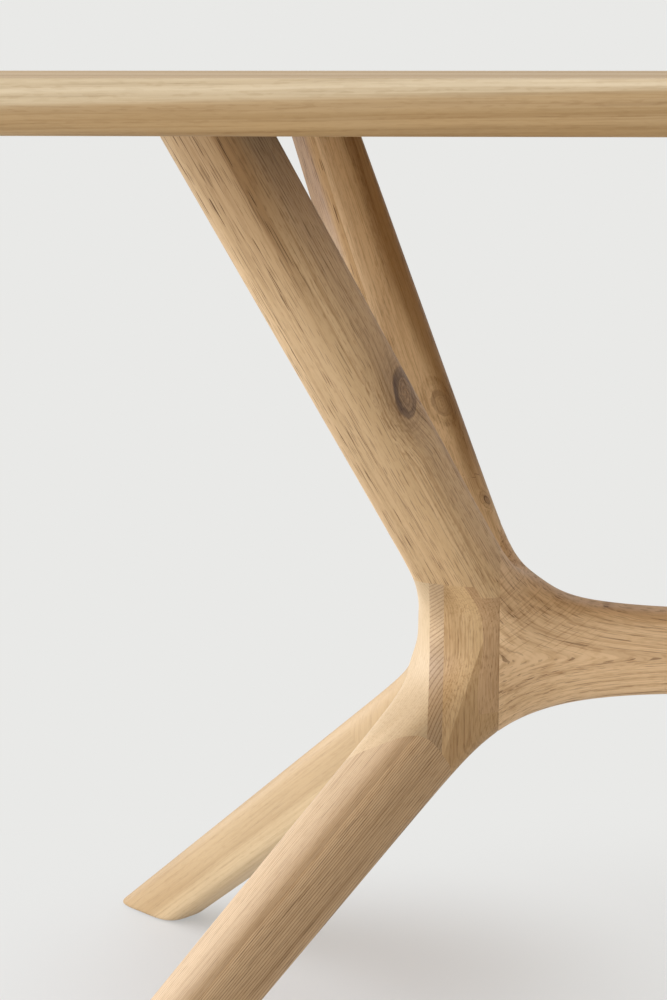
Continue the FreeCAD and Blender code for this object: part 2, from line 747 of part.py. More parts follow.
hub_dowels = []
for pin, _ in hub_pins:
    pin.translate(hub)
    hub_dowels += at_both_ends(pin)
solid_piece("hub_dowels", Part.makeCompound(hub_dowels))
tie_dowels = []
for pin, _ in tie_pins:
    pin.translate(hub)
    tie_dowels += in_all(pin)
solid_piece("stretcher_dowels", Part.makeCompound(tie_dowels))
disc = rod(PAD_SPOT + hub, UP, dim("pad_width"), dim("pad_thick"))
solid_piece("foot_pads", Part.makeCompound(in_all(disc)))

# Check every object and write each piece to its own file
doc.recompute()
for thing in doc.Objects:
    if "Invalid" in thing.State or "Error" in thing.State:
        raise RuntimeError("%s failed: %s" % (thing.Label, thing.State))
for piece in pieces:
    if piece.Shape.isNull() or not piece.Shape.isValid() or not piece.Shape.Solids:
        raise RuntimeError("%s has no valid shape" % piece.Label)
os.makedirs("parts", exist_ok=True)
for piece in pieces:
    piece.Shape.exportStep("parts/%s.step" % piece.Label)
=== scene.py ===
import math
from collections import namedtuple

import bmesh
import bpy
import numpy as np
from mathutils import Matrix, Vector


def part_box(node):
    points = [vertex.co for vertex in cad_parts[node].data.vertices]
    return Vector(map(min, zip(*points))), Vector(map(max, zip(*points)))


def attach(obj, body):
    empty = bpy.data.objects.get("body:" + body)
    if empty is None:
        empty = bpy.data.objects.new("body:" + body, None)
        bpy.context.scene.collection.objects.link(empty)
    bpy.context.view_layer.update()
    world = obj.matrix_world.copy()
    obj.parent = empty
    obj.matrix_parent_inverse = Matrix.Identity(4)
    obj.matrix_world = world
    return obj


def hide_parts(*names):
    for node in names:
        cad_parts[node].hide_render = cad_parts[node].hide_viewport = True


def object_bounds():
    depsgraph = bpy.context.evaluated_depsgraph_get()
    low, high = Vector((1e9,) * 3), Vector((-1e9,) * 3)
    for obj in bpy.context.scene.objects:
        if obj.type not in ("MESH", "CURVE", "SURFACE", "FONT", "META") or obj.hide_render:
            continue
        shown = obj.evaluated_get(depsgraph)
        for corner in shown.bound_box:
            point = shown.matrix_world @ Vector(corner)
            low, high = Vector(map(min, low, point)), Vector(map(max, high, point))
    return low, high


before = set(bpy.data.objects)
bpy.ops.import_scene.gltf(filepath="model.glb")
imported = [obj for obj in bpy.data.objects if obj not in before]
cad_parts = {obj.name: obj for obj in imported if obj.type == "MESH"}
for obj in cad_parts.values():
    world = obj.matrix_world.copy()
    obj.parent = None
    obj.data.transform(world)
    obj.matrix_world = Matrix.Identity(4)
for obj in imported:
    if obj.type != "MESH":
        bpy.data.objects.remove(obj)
CAD_LOW, CAD_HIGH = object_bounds()
BOARD_LOW, BOARD_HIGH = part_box("top_board_1")
PLATE_LOW, PLATE_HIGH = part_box("left_front_mount_plate")
FOOT_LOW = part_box("left_front_lower_leg_inner_stave")[0]

bl_info = {
    "name": "Oak dining table",
    "version": (1, 0, 0),
    "blender": (4, 5, 0),
    "location": "3D View > Sidebar > Oak table",
    "description": "Oak table of glued boards on two sculpted end frames and a stretcher",
    "category": "Add Mesh",
}

# Lengths are metres. X runs along the table, Y across it and Z up; the floor is Z = 0.
UP = np.array((0.0, 0.0, 1.0))
ENDS = {"left": 1, "right": -1}
SIDES = {"front": 1, "back": -1}


def length(name, default, description):
    """A length that a user may change."""
    return bpy.props.FloatProperty(name=name, description=description, default=default,
                                   unit="LENGTH", precision=4)


def angle(name, degrees, description):
    """An angle that a user may change, given in degrees."""
    return bpy.props.FloatProperty(name=name, description=description,
                                   default=math.radians(degrees), subtype="ANGLE")


def number(name, default, description):
    """A plain number that a user may change."""
    return bpy.props.FloatProperty(name=name, description=description, default=default)


def colour(name, default, description):
    """A linear colour that a user may change."""
    return bpy.props.FloatVectorProperty(name=name, description=description, default=default,
                                         subtype="COLOR", size=3, min=0.0, max=1.0)


class TableSizes(bpy.types.PropertyGroup):
    """Sizes of the table; those of the top come from the frame."""

    top_length: length("Top length", CAD_HIGH.x - CAD_LOW.x, "Length of the top along X")
    top_width: length("Top width", CAD_HIGH.y - CAD_LOW.y, "Width of the top along Y")
    top_height: length("Top height", CAD_HIGH.z, "Height of the top above the floor")
    top_thick: length("Top thickness", BOARD_HIGH.z - BOARD_LOW.z, "Thickness of the boards")
    board_count: bpy.props.IntProperty(name="Boards", description="Boards across the top",
                                       default=7, min=2)
    top_arris: length("Top arris", 0.0025, "Radius of the top's upper edge")
    under_round: length("Under round", 0.014, "Radius of the top's lower edge")
    corner_round: length("Corner round", 0.020, "Radius of the top's corners in plan")
    plate_long: length("Plate length", PLATE_HIGH.x - PLATE_LOW.x, "Mounting plate along X")
    plate_wide: length("Plate width", PLATE_HIGH.y - PLATE_LOW.y, "Mounting plate along Y")
    plate_thick: length("Plate thickness", PLATE_HIGH.z - PLATE_LOW.z, "Depth of its recess")
    plate_room: length("Plate room", 0.001, "Gap round the plate in its recess")
    hub_inset: length("Hub inset", 0.500, "Hub axis from the end of the top")
    upper_fork: length("Upper fork", 0.353, "Height at which the upper legs part")
    lower_fork: length("Lower fork", 0.308, "Height at which the lower legs part")
    upper_reach_x: length("Upper reach along", 0.158, "Upper leg's reach along X")
    upper_reach_y: length("Upper reach across", 0.400, "Upper leg's reach along Y")
    lower_reach_x: length("Lower reach along", 0.297, "Lower leg's reach along X")
    lower_reach_y: length("Lower reach across", 0.296, "Lower leg's reach along Y")
    upper_root_wide: length("Upper root width", 0.068, "Upper leg's level width at the fork")
    upper_root_deep: length("Upper root depth", 0.046, "Upper leg's depth at the fork")
    upper_tip_wide: length("Upper tip width", 0.053, "Upper leg's level width at the top")
    upper_tip_deep: length("Upper tip depth", 0.050, "Upper leg's depth at the top")
    lower_root_wide: length("Lower root width", 0.0645, "Lower leg's level width at the fork")
    lower_root_deep: length("Lower root depth", 0.0595, "Lower leg's depth at the fork")
    lower_tip_wide: length("Lower tip width", 0.049, "Lower leg's level width at the foot")
    lower_tip_deep: length("Lower tip depth", 0.0485, "Lower leg's depth at the foot")
    lower_roll: angle("Lower roll", 4.0, "Turn of the lower leg's section about its axis")
    section_power: number("Section power", 3.55, "Squareness of the rounded sections")
    blend: length("Blend", 0.0109, "How far the bars melt into each other")
    stretcher_high: length("Stretcher height", 0.062, "Height of the stretcher's section")
    stretcher_thick: length("Stretcher thickness", 0.052, "Thickness of the section")
    stretcher_drop: length("Stretcher drop", 0.008, "Stretcher's axis below mid fork")
    flare: length("Flare", 0.0112, "Swelling of the stretcher's ends")
    flare_reach: length("Flare reach", 0.094, "How far the swelling runs")
    shoulder: length("Shoulder", 0.013, "Stretcher's glue joint from the hub axis")
    hub_rise: length("Hub rise", 0.033, "Outer stave's glue joint above the upper fork")
    inner_sink: length("Inner sink", 0.011, "Inner stave's glue joint below the outer one")
    key_inset: length("Key inset", 0.029, "Cross-grained key from the hub axis")
    key_thick: length("Key thickness", 0.011, "Thickness of the key")
    wedge_start: length("Wedge start", 0.027, "Wedge's thin edge from the middle plane")
    wedge_turn: angle("Wedge turn", 30.0, "Turn of the wedge's glue plane")
    wedge_drop: length("Wedge drop", 0.025, "Wedge's lower end below the lower fork")
    flank_reach: length("Flank reach", 0.114, "Lower leg's glue joint along its axis")
    flank_lean: angle("Flank lean", 26.0, "Lean of that joint from upright")
    stave_turn: angle("Stave turn", 45.0, "Turn of the glue plane between two staves")
    foot_round: length("Foot round", 0.004, "Radius of the foot's lower edge")


class OakColours(bpy.types.PropertyGroup):
    """Linear colours of the oak and of the hidden pieces."""

    # Pale, so that the front board's edge carries a painted sheen where its tone is nil; the tone darkens
    # the rest
    top: colour("Top", (0.66, 0.53, 0.355), "Boards of the top")
    upper: colour("Upper legs", (0.585, 0.398, 0.212), "Staves of the upper legs")
    # Paler than the front staves: it paints light on the back upper legs where they lie in shade
    upper_back: colour("Back upper legs", (0.74, 0.55, 0.335), "Inner staves of the back upper legs")
    lower: colour("Lower legs", (0.50, 0.34, 0.19), "Inner staves of the front lower legs")
    lower_pale: colour("Pale lower legs", (0.545, 0.39, 0.235), "Outer staves of the front lower legs")
    # Paler than the front lower staves, so that with the darker upper side it paints bounce light
    # underneath
    lower_back: colour("Back lower legs", (0.66, 0.495, 0.295), "Staves of the back lower legs")
    cheek: colour("Cheeks", (0.545, 0.40, 0.237), "Cheeks of the hubs")
    block: colour("Blocks", (0.575, 0.385, 0.195), "Blocks of the hubs")
    wedge: colour("Wedges", (0.50, 0.32, 0.165), "Wedges beside the stretcher")
    key: colour("Keys", (0.48, 0.335, 0.195), "End grain of the cross keys")
    stretcher: colour("Stretcher", (0.655, 0.447, 0.25), "The stretcher")
    # The tone darkens towards this share, on some pieces as painted shade as well as heartwood
    shade: colour("Heartwood", (0.47, 0.38, 0.27), "Darkest heartwood as a share of the colour")
    # Also darkens the lower part of the front board's edge, where it is partly painted shade
    top_shade: colour("Top heartwood", (0.47, 0.30, 0.09), "The same for the boards of the top")
    pore: colour("Pores", (0.24, 0.17, 0.115), "Open pores as a share of the colour")
    dowel: colour("Dowels", (0.60, 0.43, 0.27), "Beech dowels")
    steel: colour("Plates", (0.022, 0.022, 0.024), "Painted mounting plates")
    zinc: colour("Fasteners", (0.60, 0.60, 0.62), "Bolts and screws")
    brass: colour("Inserts", (0.66, 0.47, 0.19), "Threaded inserts")
    felt: colour("Pads", (0.24, 0.22, 0.20), "Felt pads under the feet")


class StudioStage(bpy.types.PropertyGroup):
    """Camera, light and floor."""

    eye: bpy.props.FloatVectorProperty(name="Eye", description="Place of the camera",
                                       default=(-0.59104, -1.854749, 0.769356),
                                       subtype="TRANSLATION")
    yaw: angle("Yaw", 3.8388, "Turn of the view from the table's cross direction to the left")
    pitch: angle("Pitch", 10.1414, "Fall of the view below level")
    lens: number("Lens", 88.4226, "Focal length in millimetres on a 36 mm frame")
    floor: colour("Floor", (0.63, 0.625, 0.615), "Pale studio floor")
    bounce: colour("Floor bounce", (0.74, 0.735, 0.72), "Floor as the light on the table meets it")
    backdrop: colour("Backdrop", (0.815, 0.815, 0.800), "Background seen by the camera")
    glow: number("Floor glow", 0.10, "Share of the backdrop's own light in the floor by the feet")
    sky: number("Sky light", 0.95, "Strength of the even light from all round")
    key: number("Key light", 140.0, "Power of the large soft lamp on the left in watts")
    key_tint: colour("Key tint", (0.85, 0.90, 1.0), "Colour of that lamp")


# The sculpted form. Five bars meet at a hub and melt into each other. It is worked out in the
# hub's own frame: the hub's upright axis is X = Y = 0, the legs run towards -X, the stretcher
# towards +X, and the front member lies at Y < 0.
Bar = namedtuple("Bar", "root axis level steep length wide deep")


def unit(vector):
    """Vectors of length one, along the last axis of an array."""
    vector = np.asarray(vector, float)
    return vector / np.linalg.norm(vector, axis=-1, keepdims=True)


def hub_place(sizes):
    """Distance of each hub's axis from the middle of the table."""
    return sizes.top_length / 2 - sizes.hub_inset


def leg_bar(root, tip, wide, deep, roll):
    """A straight bar; its level axis is square to the upright, turned about the bar by roll."""
    run = np.subtract(tip, root)
    axis = unit(run)
    level = unit(np.cross(UP, axis))
    steep = np.cross(axis, level)
    turned = level * math.cos(roll) + steep * math.sin(roll)
    return Bar(np.array(root, float), axis, turned, np.cross(axis, turned),
               float(np.linalg.norm(run)), wide, deep)


def leg_pair(sizes, side):
    """Upper and lower leg bars of the front (-1) or back (1) member."""
    underside = sizes.top_height - sizes.top_thick
    upper = leg_bar((0, 0, sizes.upper_fork),
                    (-sizes.upper_reach_x, side * sizes.upper_reach_y, underside),
                    (sizes.upper_root_wide / 2, sizes.upper_tip_wide / 2),
                    (sizes.upper_root_deep / 2, sizes.upper_tip_deep / 2), 0.0)
    lower = leg_bar((0, 0, sizes.lower_fork),
                    (-sizes.lower_reach_x, side * sizes.lower_reach_y, 0),
                    (sizes.lower_root_wide / 2, sizes.lower_tip_wide / 2),
                    (sizes.lower_root_deep / 2, sizes.lower_tip_deep / 2),
                    -side * sizes.lower_roll)
    return upper, lower


def superellipse(shares, power, mean):
    """(sum of |share| ^ power) ^ (1 / power) - 1, times the mean half size."""
    total = sum(np.abs(share) ** power for share in shares)
    return (total ** (1 / power) - 1) * mean


def bar_distance(bar, points, power):
    """About how far points stand outside a tapered bar with a domed fork end: a superellipse of
    the two offsets across the bar and of the run behind the fork."""
    off = points - bar.root
    run = off @ bar.axis
    share = np.maximum(run / bar.length, 0)
    wide = bar.wide[0] + (bar.wide[1] - bar.wide[0]) * share
    deep = bar.deep[0] + (bar.deep[1] - bar.deep[0]) * share
    mean = (wide + deep) / 2
    shares = (off @ bar.level / wide, off @ bar.steep / deep, np.maximum(-run, 0) / mean)
    return superellipse(shares, power, mean)


def tie_level(sizes):
    """Height of the stretcher's axis."""
    return (sizes.upper_fork + sizes.lower_fork) / 2 - sizes.stretcher_drop


def tie_distance(sizes, points):
    """The same for the stretcher, whose section swells by flare * exp(-(x / reach)^2)."""
    high = sizes.stretcher_high / 2
    thick = sizes.stretcher_thick / 2
    mean = (high + thick) / 2
    x, y, z = np.moveaxis(points, -1, 0)
    swell = sizes.flare * np.exp(-(np.maximum(x, 0) / sizes.flare_reach) ** 2)
    shares = (y / (thick + swell / 2), (z - tie_level(sizes)) / (high + swell),
              np.maximum(-x, 0) / mean)
    return superellipse(shares, sizes.section_power, mean)


def melt(distances, blend):
    """Smooth union: least - blend * ln(sum of exp((least - distance) / blend))."""
    least = np.minimum.reduce(distances)
    return least - blend * np.log(sum(np.exp((least - d) / blend) for d in distances))


def member_field(sizes):
    """Field of the front member, zero on its surface. Beyond the glue planes of the hub the
    other bars are held at the plane and fade twice as fast as the distance from it."""
    own = leg_pair(sizes, -1)
    other = leg_pair(sizes, 1)
    limit = np.array((sizes.shoulder, 0.0, math.inf))

    def field(points):
        held = np.minimum(points, limit)
        fade = 2 * np.linalg.norm(points - held, axis=-1)
        near = [bar_distance(bar, points, sizes.section_power) for bar in own]
        far = [bar_distance(bar, held, sizes.section_power) + fade for bar in other]
        return melt(near + far + [tie_distance(sizes, held) + fade], sizes.blend)

    return field


def tie_field(sizes):
    """Field of the stretcher's end with all four legs."""
    bars = leg_pair(sizes, -1) + leg_pair(sizes, 1)

    def field(points):
        legs = [bar_distance(bar, points, sizes.section_power) for bar in bars]
        return melt(legs + [tie_distance(sizes, points)], sizes.blend)

    return field


def cast(field, centres, directions, step, halvings=18):
    """How far along each ray the field first turns positive: march by steps, then halve."""
    far = np.full(directions.shape[:-1], step)
    inside = field(centres + directions * far[..., None]) < 0
    while inside.any():
        far[inside] += step
        inside &= field(centres + directions * far[..., None]) < 0
    near = far - step
    for _ in range(halvings):
        middle = (near + far) / 2
        inside = field(centres + directions * middle[..., None]) < 0
        near = np.where(inside, middle, near)
        far = np.where(inside, far, middle)
    return (near + far) / 2


def ramp(share):
    """Smooth step from 0 to 1: 3 t^2 - 2 t^3."""
    share = np.clip(share, 0, 1)
    return share * share * (3 - 2 * share)


class Fade(namedtuple("Fade", "share start reach")):
    """A share that sets in at a start and is whole a reach further on; a negative reach runs
    backwards."""

    def at(self, distance):
        """share * ramp((distance - start) / reach)"""
        return self.share * ramp((distance - self.start) / self.reach)


# Spine of a member: where its bend begins as a share of the flank's reach, then the grip of the
# curve and the length over which the sections turn level, as shares of that bend
SPINE_BEND, SPINE_GRIP, SPINE_LEVEL = 0.7, 0.25, 2.0
UPPER_ROWS, BEND_ROWS, LOWER_ROWS, FOOT_ROWS = 130, 64, 118, 8
RING_POINTS = 120


def member_path(sizes):
    """Spine of the front member from the underside of the top to the sole of the foot: straight
    along the upper leg, a cubic curve through the hub, straight along the lower leg. Gives each
    station's place, the normal of its section and the inset of the foot's rounded edge. The
    sections turn level towards both ends."""
    upper, lower = leg_pair(sizes, -1)
    bend = SPINE_BEND * sizes.flank_reach
    grip = SPINE_GRIP * bend
    turning = SPINE_LEVEL * bend
    run = np.linspace(upper.length, bend, UPPER_ROWS)
    level = ramp(1 - (upper.length - run) / turning)[:, None]
    places = [upper.root + upper.axis * run[:, None]]
    normals = [unit(-upper.axis * (1 - level) - UP * level)]
    share = np.linspace(0, 1, BEND_ROWS + 2)[1:-1, None]
    corners = (upper.root + upper.axis * bend, upper.root + upper.axis * grip,
               lower.root + lower.axis * grip, lower.root + lower.axis * bend)
    weights = ((1 - share) ** 3, 3 * share * (1 - share) ** 2, 3 * share ** 2 * (1 - share),
               share ** 3)
    rates = ((1 - share) ** 2, 2 * share * (1 - share), share ** 2)
    places.append(sum(w * c for w, c in zip(weights, corners)))
    normals.append(unit(sum(w * (b - a) for w, a, b in zip(rates, corners, corners[1:]))))
    foot = lower.length * (1 - (FOOT_LOW.z + sizes.foot_round) / sizes.lower_fork)
    run = np.linspace(bend, foot, LOWER_ROWS)
    level = ramp(1 - (foot - run) / turning)[:, None]
    places.append(lower.root + lower.axis * run[:, None])
    normals.append(unit(lower.axis * (1 - level) - UP * level))
    arc = np.linspace(0, math.pi / 2, FOOT_ROWS + 1)[1:]
    drop = sizes.foot_round * np.sin(arc)
    run = foot + drop * lower.length / sizes.lower_fork
    places.append(lower.root + lower.axis * run[:, None])
    normals.append(np.tile(-UP, (FOOT_ROWS, 1)))
    inset = np.zeros(UPPER_ROWS + BEND_ROWS + LOWER_ROWS + FOOT_ROWS)
    inset[-FOOT_ROWS:] = sizes.foot_round * (1 - np.cos(arc))
    return np.concatenate(places), np.concatenate(normals), inset


def member_rings(sizes):
    """Surface of the whole front member on a grid of stations and angles: from each station rays
    run out in the plane of its section to the zero of the field."""
    upper, lower = leg_pair(sizes, -1)
    places, normals, inset = member_path(sizes)
    flat = np.cross(upper.axis, lower.axis)
    first = unit(flat - normals * (normals @ flat)[:, None])
    second = np.cross(normals, first)
    turns = np.linspace(0, 2 * math.pi, RING_POINTS, endpoint=False)
    rays = first[:, None] * np.cos(turns)[:, None] + second[:, None] * np.sin(turns)[:, None]
    centres = places[:, None]
    reach = cast(member_field(sizes), centres, rays, sizes.blend / 2)
    return centres + rays * (reach - inset[:, None])[..., None]


TIE_ROWS = 96
TIE_POINTS = 112


def tie_rings(sizes):
    """Surface of the stretcher on a grid of stations and angles. Stations crowd towards the two
    flared ends; each end is worked out in its own hub's frame."""
    half = hub_place(sizes)
    share = np.linspace(0, 1, TIE_ROWS)
    run = sizes.shoulder + (half - sizes.shoulder) * share ** 2
    turns = np.linspace(0, 2 * math.pi, TIE_POINTS, endpoint=False)
    rays = np.stack([np.zeros_like(turns), np.cos(turns), np.sin(turns)], -1)[None]
    rays = np.broadcast_to(rays, (TIE_ROWS, TIE_POINTS, 3))
    centres = np.zeros((TIE_ROWS, 1, 3))
    centres[:, 0, 0] = run
    centres[:, 0, 2] = tie_level(sizes)
    reach = cast(tie_field(sizes), centres, rays, sizes.blend / 2)
    left = centres + rays * reach[..., None] - np.array((half, 0, 0))
    right = left[-2::-1] * np.array((-1, 1, 1))
    return np.concatenate([left, right])


def ring_quads(rings):
    """Numbers of the points on a grid of rings, and the quads between neighbouring rings."""
    rows, columns = rings.shape[:2]
    index = np.arange(rows * columns).reshape(rows, columns)
    beside = np.roll(index, -1, axis=1)
    quads = np.stack([index[:-1], beside[:-1], beside[1:], index[1:]], -1)
    return index, quads.reshape(-1, 4)


def grid_mesh(name, rings):
    """A closed mesh on a grid of rings, with a flat face at each end."""
    index, quads = ring_quads(rings)
    faces = quads.tolist() + [index[0, ::-1].tolist(), index[-1].tolist()]
    mesh = bpy.data.meshes.new(name)
    mesh.from_pydata(rings.reshape(-1, 3).tolist(), [], faces)
    made = bmesh.new()
    made.from_mesh(mesh)
    bpy.data.meshes.remove(mesh)
    bmesh.ops.recalc_face_normals(made, faces=made.faces)
    for edge in made.edges:
        rim = any(len(face.verts) > 4 for face in edge.link_faces)
        edge.smooth = not rim
    for face in made.faces:
        face.smooth = True
    return made


# Glue joints. A cut keeps what lies behind a plane, on the side that its normal points away from.
Plane = namedtuple("Plane", "point normal")
# Distance under which points count as one, and half the width of a sharp change of tone
NEAR = 1e-6
EDGE = 0.0004
# The edge of the dark wood on a hub's block crosses the hub's axis at this height, and runs towards
# the legs by this share of the way down
DARK_TOP, DARK_LEAN = 0.336, 0.35


def flipped(plane):
    """The same plane, keeping its other side."""
    return Plane(plane.point, -np.asarray(plane.normal))


def height(plane, places):
    """How far places lie in front of a plane."""
    return np.subtract(places, plane.point) @ plane.normal


def everything(made):
    """All vertices, edges and faces of a form."""
    return made.verts[:] + made.edges[:] + made.faces[:]


def score(made, plane, clear=False):
    """Cuts the surface along a plane and gives what lies on the cut. Both sides stay joined, or
    what lies in front is cleared."""
    found = bmesh.ops.bisect_plane(made, geom=everything(made), dist=NEAR / 10,
                                   plane_co=plane.point, plane_no=plane.normal, clear_outer=clear)
    return found["geom_cut"]


def cut(made, plane):
    """Removes what lies in front of a plane and closes the opening with a flat face."""
    rim = [item for item in score(made, plane, clear=True)
           if isinstance(item, bmesh.types.BMEdge) and item.is_boundary]
    for edge in rim:
        edge.smooth = False
    if rim:
        bmesh.ops.edgeloop_fill(made, edges=rim)


def cut_out(made, first, second):
    """Removes the corner that lies in front of two planes and closes it with two flat faces."""
    planes = (first, second)
    for plane in planes:
        score(made, plane)
    corner = [face for face in made.faces
              if min(height(plane, face.calc_center_median()) for plane in planes) > 0]
    bmesh.ops.delete(made, geom=corner, context="FACES")
    rim = [edge for edge in made.edges if edge.is_boundary]
    for edge in rim:
        edge.smooth = False
    ends = {vert for edge in rim for vert in edge.verts
            if max(abs(height(plane, vert.co)) for plane in planes) < NEAR}
    if len(ends) != 2:
        raise RuntimeError("the corner cut meets the surface at %d points" % len(ends))
    inner = made.edges.new(tuple(ends))
    inner.smooth = False
    for plane in planes:
        loop = [edge for edge in rim
                if max(abs(height(plane, vert.co)) for vert in edge.verts) < NEAR]
        bmesh.ops.edgeloop_fill(made, edges=loop + [inner])
    bmesh.ops.recalc_face_normals(made, faces=made.faces)


def joint_planes(sizes):
    """Glue planes of the front member by name, and the plane at which the dark wood of the hub's
    block begins."""
    upper, lower = leg_pair(sizes, -1)
    hub_top = sizes.upper_fork + sizes.hub_rise
    across = np.array((1.0, 0.0, 0.0))
    return {
        "middle": Plane((0, 0, 0), np.array((0.0, 1.0, 0.0))),
        "shoulder": Plane((sizes.shoulder, 0, 0), across),
        "hub_top": Plane((0, 0, hub_top), UP),
        "inner_seat": Plane((0, 0, hub_top - sizes.inner_sink), UP),
        "fork": Plane((0, 0, sizes.lower_fork), UP),
        "flank": Plane(lower.root + lower.axis * sizes.flank_reach,
                       np.array((0, -math.cos(sizes.flank_lean), -math.sin(sizes.flank_lean)))),
        "key_inner": Plane((-sizes.key_inset, 0, 0), across),
        "key_outer": Plane((-sizes.key_inset - sizes.key_thick, 0, 0), across),
        "wedge": Plane((sizes.shoulder, -sizes.wedge_start, 0),
                       np.array((math.cos(sizes.wedge_turn), -math.sin(sizes.wedge_turn), 0))),
        "wedge_low": Plane((0, 0, sizes.lower_fork - sizes.wedge_drop), UP),
        "dark_side": Plane((0, 0, DARK_TOP), unit((1, 0, -DARK_LEAN))),
        "upper_seam": Plane(upper.root, upper.level * math.cos(sizes.stave_turn)
                            + upper.steep * math.sin(sizes.stave_turn)),
        "lower_seam": Plane(lower.root, lower.level * math.cos(sizes.stave_turn)
                            - lower.steep * math.sin(sizes.stave_turn)),
    }


def cut_from(form, *planes):
    """A copy of a form, cut by several planes in turn."""
    made = form.copy()
    for plane in planes:
        cut(made, plane)
    return made


# Wood. Each piece carries attributes on its vertices:
# grain is the distance along the fibres and the two distances across them, from the tree's heart;
# tone is a share of the dark heartwood, and on some pieces also of painted shade;
# knot is the place along and across the nearest knot, over the knot's size, and its strength;
# fleck is the place along and across the rays that cross the fibres, and their strength.
def straight_grain(origin, fibre, radial, heart):
    """Straight fibres: distances along the fibre, along the rings and out from the heart."""
    fibre = unit(fibre)
    radial = unit(np.subtract(radial, fibre * np.dot(radial, fibre)))
    tangent = np.cross(radial, fibre)

    def grain(points):
        off = points - np.asarray(origin)
        return np.stack([off @ fibre, off @ tangent, off @ radial + heart], -1)

    return grain


Knot = namedtuple("Knot", "run aside size strength")


def knots_in(root, fibre, across, knots):
    """Place of each point relative to the nearest of several knots, over the knot's size."""

    def knot(points):
        off = points - root
        found = [np.stack([(off @ fibre - each.run) / each.size,
                           (off @ across - each.aside) / each.size,
                           np.full(len(off), each.strength)], -1) for each in knots]
        far = np.stack([np.hypot(each[:, 0], each[:, 1]) for each in found])
        return np.stack(found)[far.argmin(0), np.arange(len(off))]

    return knot


def store(mesh, name, values):
    """Stores a number or a vector per vertex under an attribute name."""
    values = np.ascontiguousarray(values, np.float32)
    kind, field = ("FLOAT", "value") if values.ndim == 1 else ("FLOAT_VECTOR", "vector")
    stored = mesh.attributes.new(name, kind, "POINT")
    stored.data.foreach_set(field, values.ravel())


def vertex_places(mesh):
    """All vertices of a mesh as an array."""
    places = np.empty(len(mesh.vertices) * 3, np.float32)
    mesh.vertices.foreach_get("co", places)
    return places.reshape(-1, 3).astype(float)


def add_piece(name, made, material, marks, mirror=(1, 1), offset=0.0):
    """Makes the piece that stands for a frame node: moves the form along X, mirrors it, stores
    its marks, and lets it ride with the table. Marks are functions of the unmirrored places."""
    end, side = mirror
    turn = Matrix.Diagonal((end, side, 1, 1)) @ Matrix.Translation((offset, 0, 0))
    copy = made.copy()
    copy.transform(turn)
    if end * side < 0:
        bmesh.ops.reverse_faces(copy, faces=copy.faces)
    mesh = bpy.data.meshes.new(name)
    copy.to_mesh(mesh)
    copy.free()
    local = vertex_places(mesh) * np.array((end, side, 1)) - np.array((offset, 0, 0))
    for mark, values in marks.items():
        store(mesh, mark, values(local))
    mesh.materials.append(material)
    piece = bpy.data.objects.new(name, mesh)
    bpy.context.scene.collection.objects.link(piece)
    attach(piece, "root")
    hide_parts(name)
    return piece


# Steps in metres from one place in the tree to the next, along the fibres and across them
TREE_STEP, TREE_AROUND, TREE_OUT = 1.9, 0.012, 0.006


def shifted(grain, turn):
    """The same grain taken from another place in the tree, by the number of a turn."""
    shift = np.array((TREE_STEP * turn, TREE_AROUND * math.sin(turn), TREE_OUT * math.cos(turn)))
    return lambda points: grain(points) + shift


# Materials
class Wire:
    """One output of a material's nodes. Arithmetic on it adds Math nodes."""

    def __init__(self, tree, socket=None):
        self.tree = tree
        self.socket = socket

    def node(self, kind, settings=None, inputs=None, output=0):
        """Adds a node: its settings first, then its sockets' values or links."""
        made = self.tree.nodes.new(kind)
        for name, value in (settings or {}).items():
            setattr(made, name, value)
        for name, value in (inputs or {}).items():
            if isinstance(value, Wire):
                self.tree.links.new(value.socket, made.inputs[name])
            else:
                made.inputs[name].default_value = value
        return Wire(self.tree, made.outputs[output] if made.outputs else None)

    def math(self, operation, *values):
        """A Math node on numbers or wires."""
        return self.node("ShaderNodeMath", {"operation": operation}, dict(enumerate(values)))

    def __add__(self, other):
        return self.math("ADD", self, other)

    def __sub__(self, other):
        return self.math("SUBTRACT", self, other)

    def __rsub__(self, other):
        return self.math("SUBTRACT", other, self)

    def __mul__(self, other):
        return self.math("MULTIPLY", self, other)

    def __truediv__(self, other):
        return self.math("DIVIDE", self, other)

    __radd__ = __add__
    __rmul__ = __mul__

    def root(self):
        """The square root."""
        return self.math("SQRT", self)

    def above(self, other):
        """The larger of two numbers."""
        return self.math("MAXIMUM", self, other)

    def step(self, low, high):
        """0 below low, 1 above high, smooth between."""
        settings = {"interpolation_type": "SMOOTHSTEP"}
        inputs = {"Value": self, "From Min": low, "From Max": high}
        return self.node("ShaderNodeMapRange", settings, inputs)

    def parts(self):
        """The three numbers of a vector."""
        return [self.node("ShaderNodeSeparateXYZ", None, {0: self}, k) for k in range(3)]

    def noise(self, x, y, z, detail=1.0, roughness=0.5):
        """Smooth noise from 0 to 1 at a place of three numbers."""
        place = self.node("ShaderNodeCombineXYZ", None, {0: x, 1: y, 2: z})
        settings = {"noise_dimensions": "3D"}
        inputs = {"Vector": place, "Scale": 1.0, "Detail": detail, "Roughness": roughness}
        return self.node("ShaderNodeTexNoise", settings, inputs)

    def mix(self, first, second, mode="MIX"):
        """Two colours mixed by this number."""
        settings = {"data_type": "RGBA", "blend_type": mode, "clamp_factor": True}
        return self.node("ShaderNodeMix", settings, {0: self, 6: first, 7: second}, 2)

    def stain(self, wood, share):
        """A colour taken down to a share of itself by this number."""
        return self.mix(wood, tint(share), "MULTIPLY")


def empty_nodes(block):
    """Clears the nodes of a material or a world and gives a wire to build new ones with."""
    block.use_nodes = True
    block.node_tree.nodes.clear()
    return Wire(block.node_tree)


def new_material(name):
    """An empty material and a wire to build its nodes with."""
    material = bpy.data.materials.new(name)
    return material, empty_nodes(material)


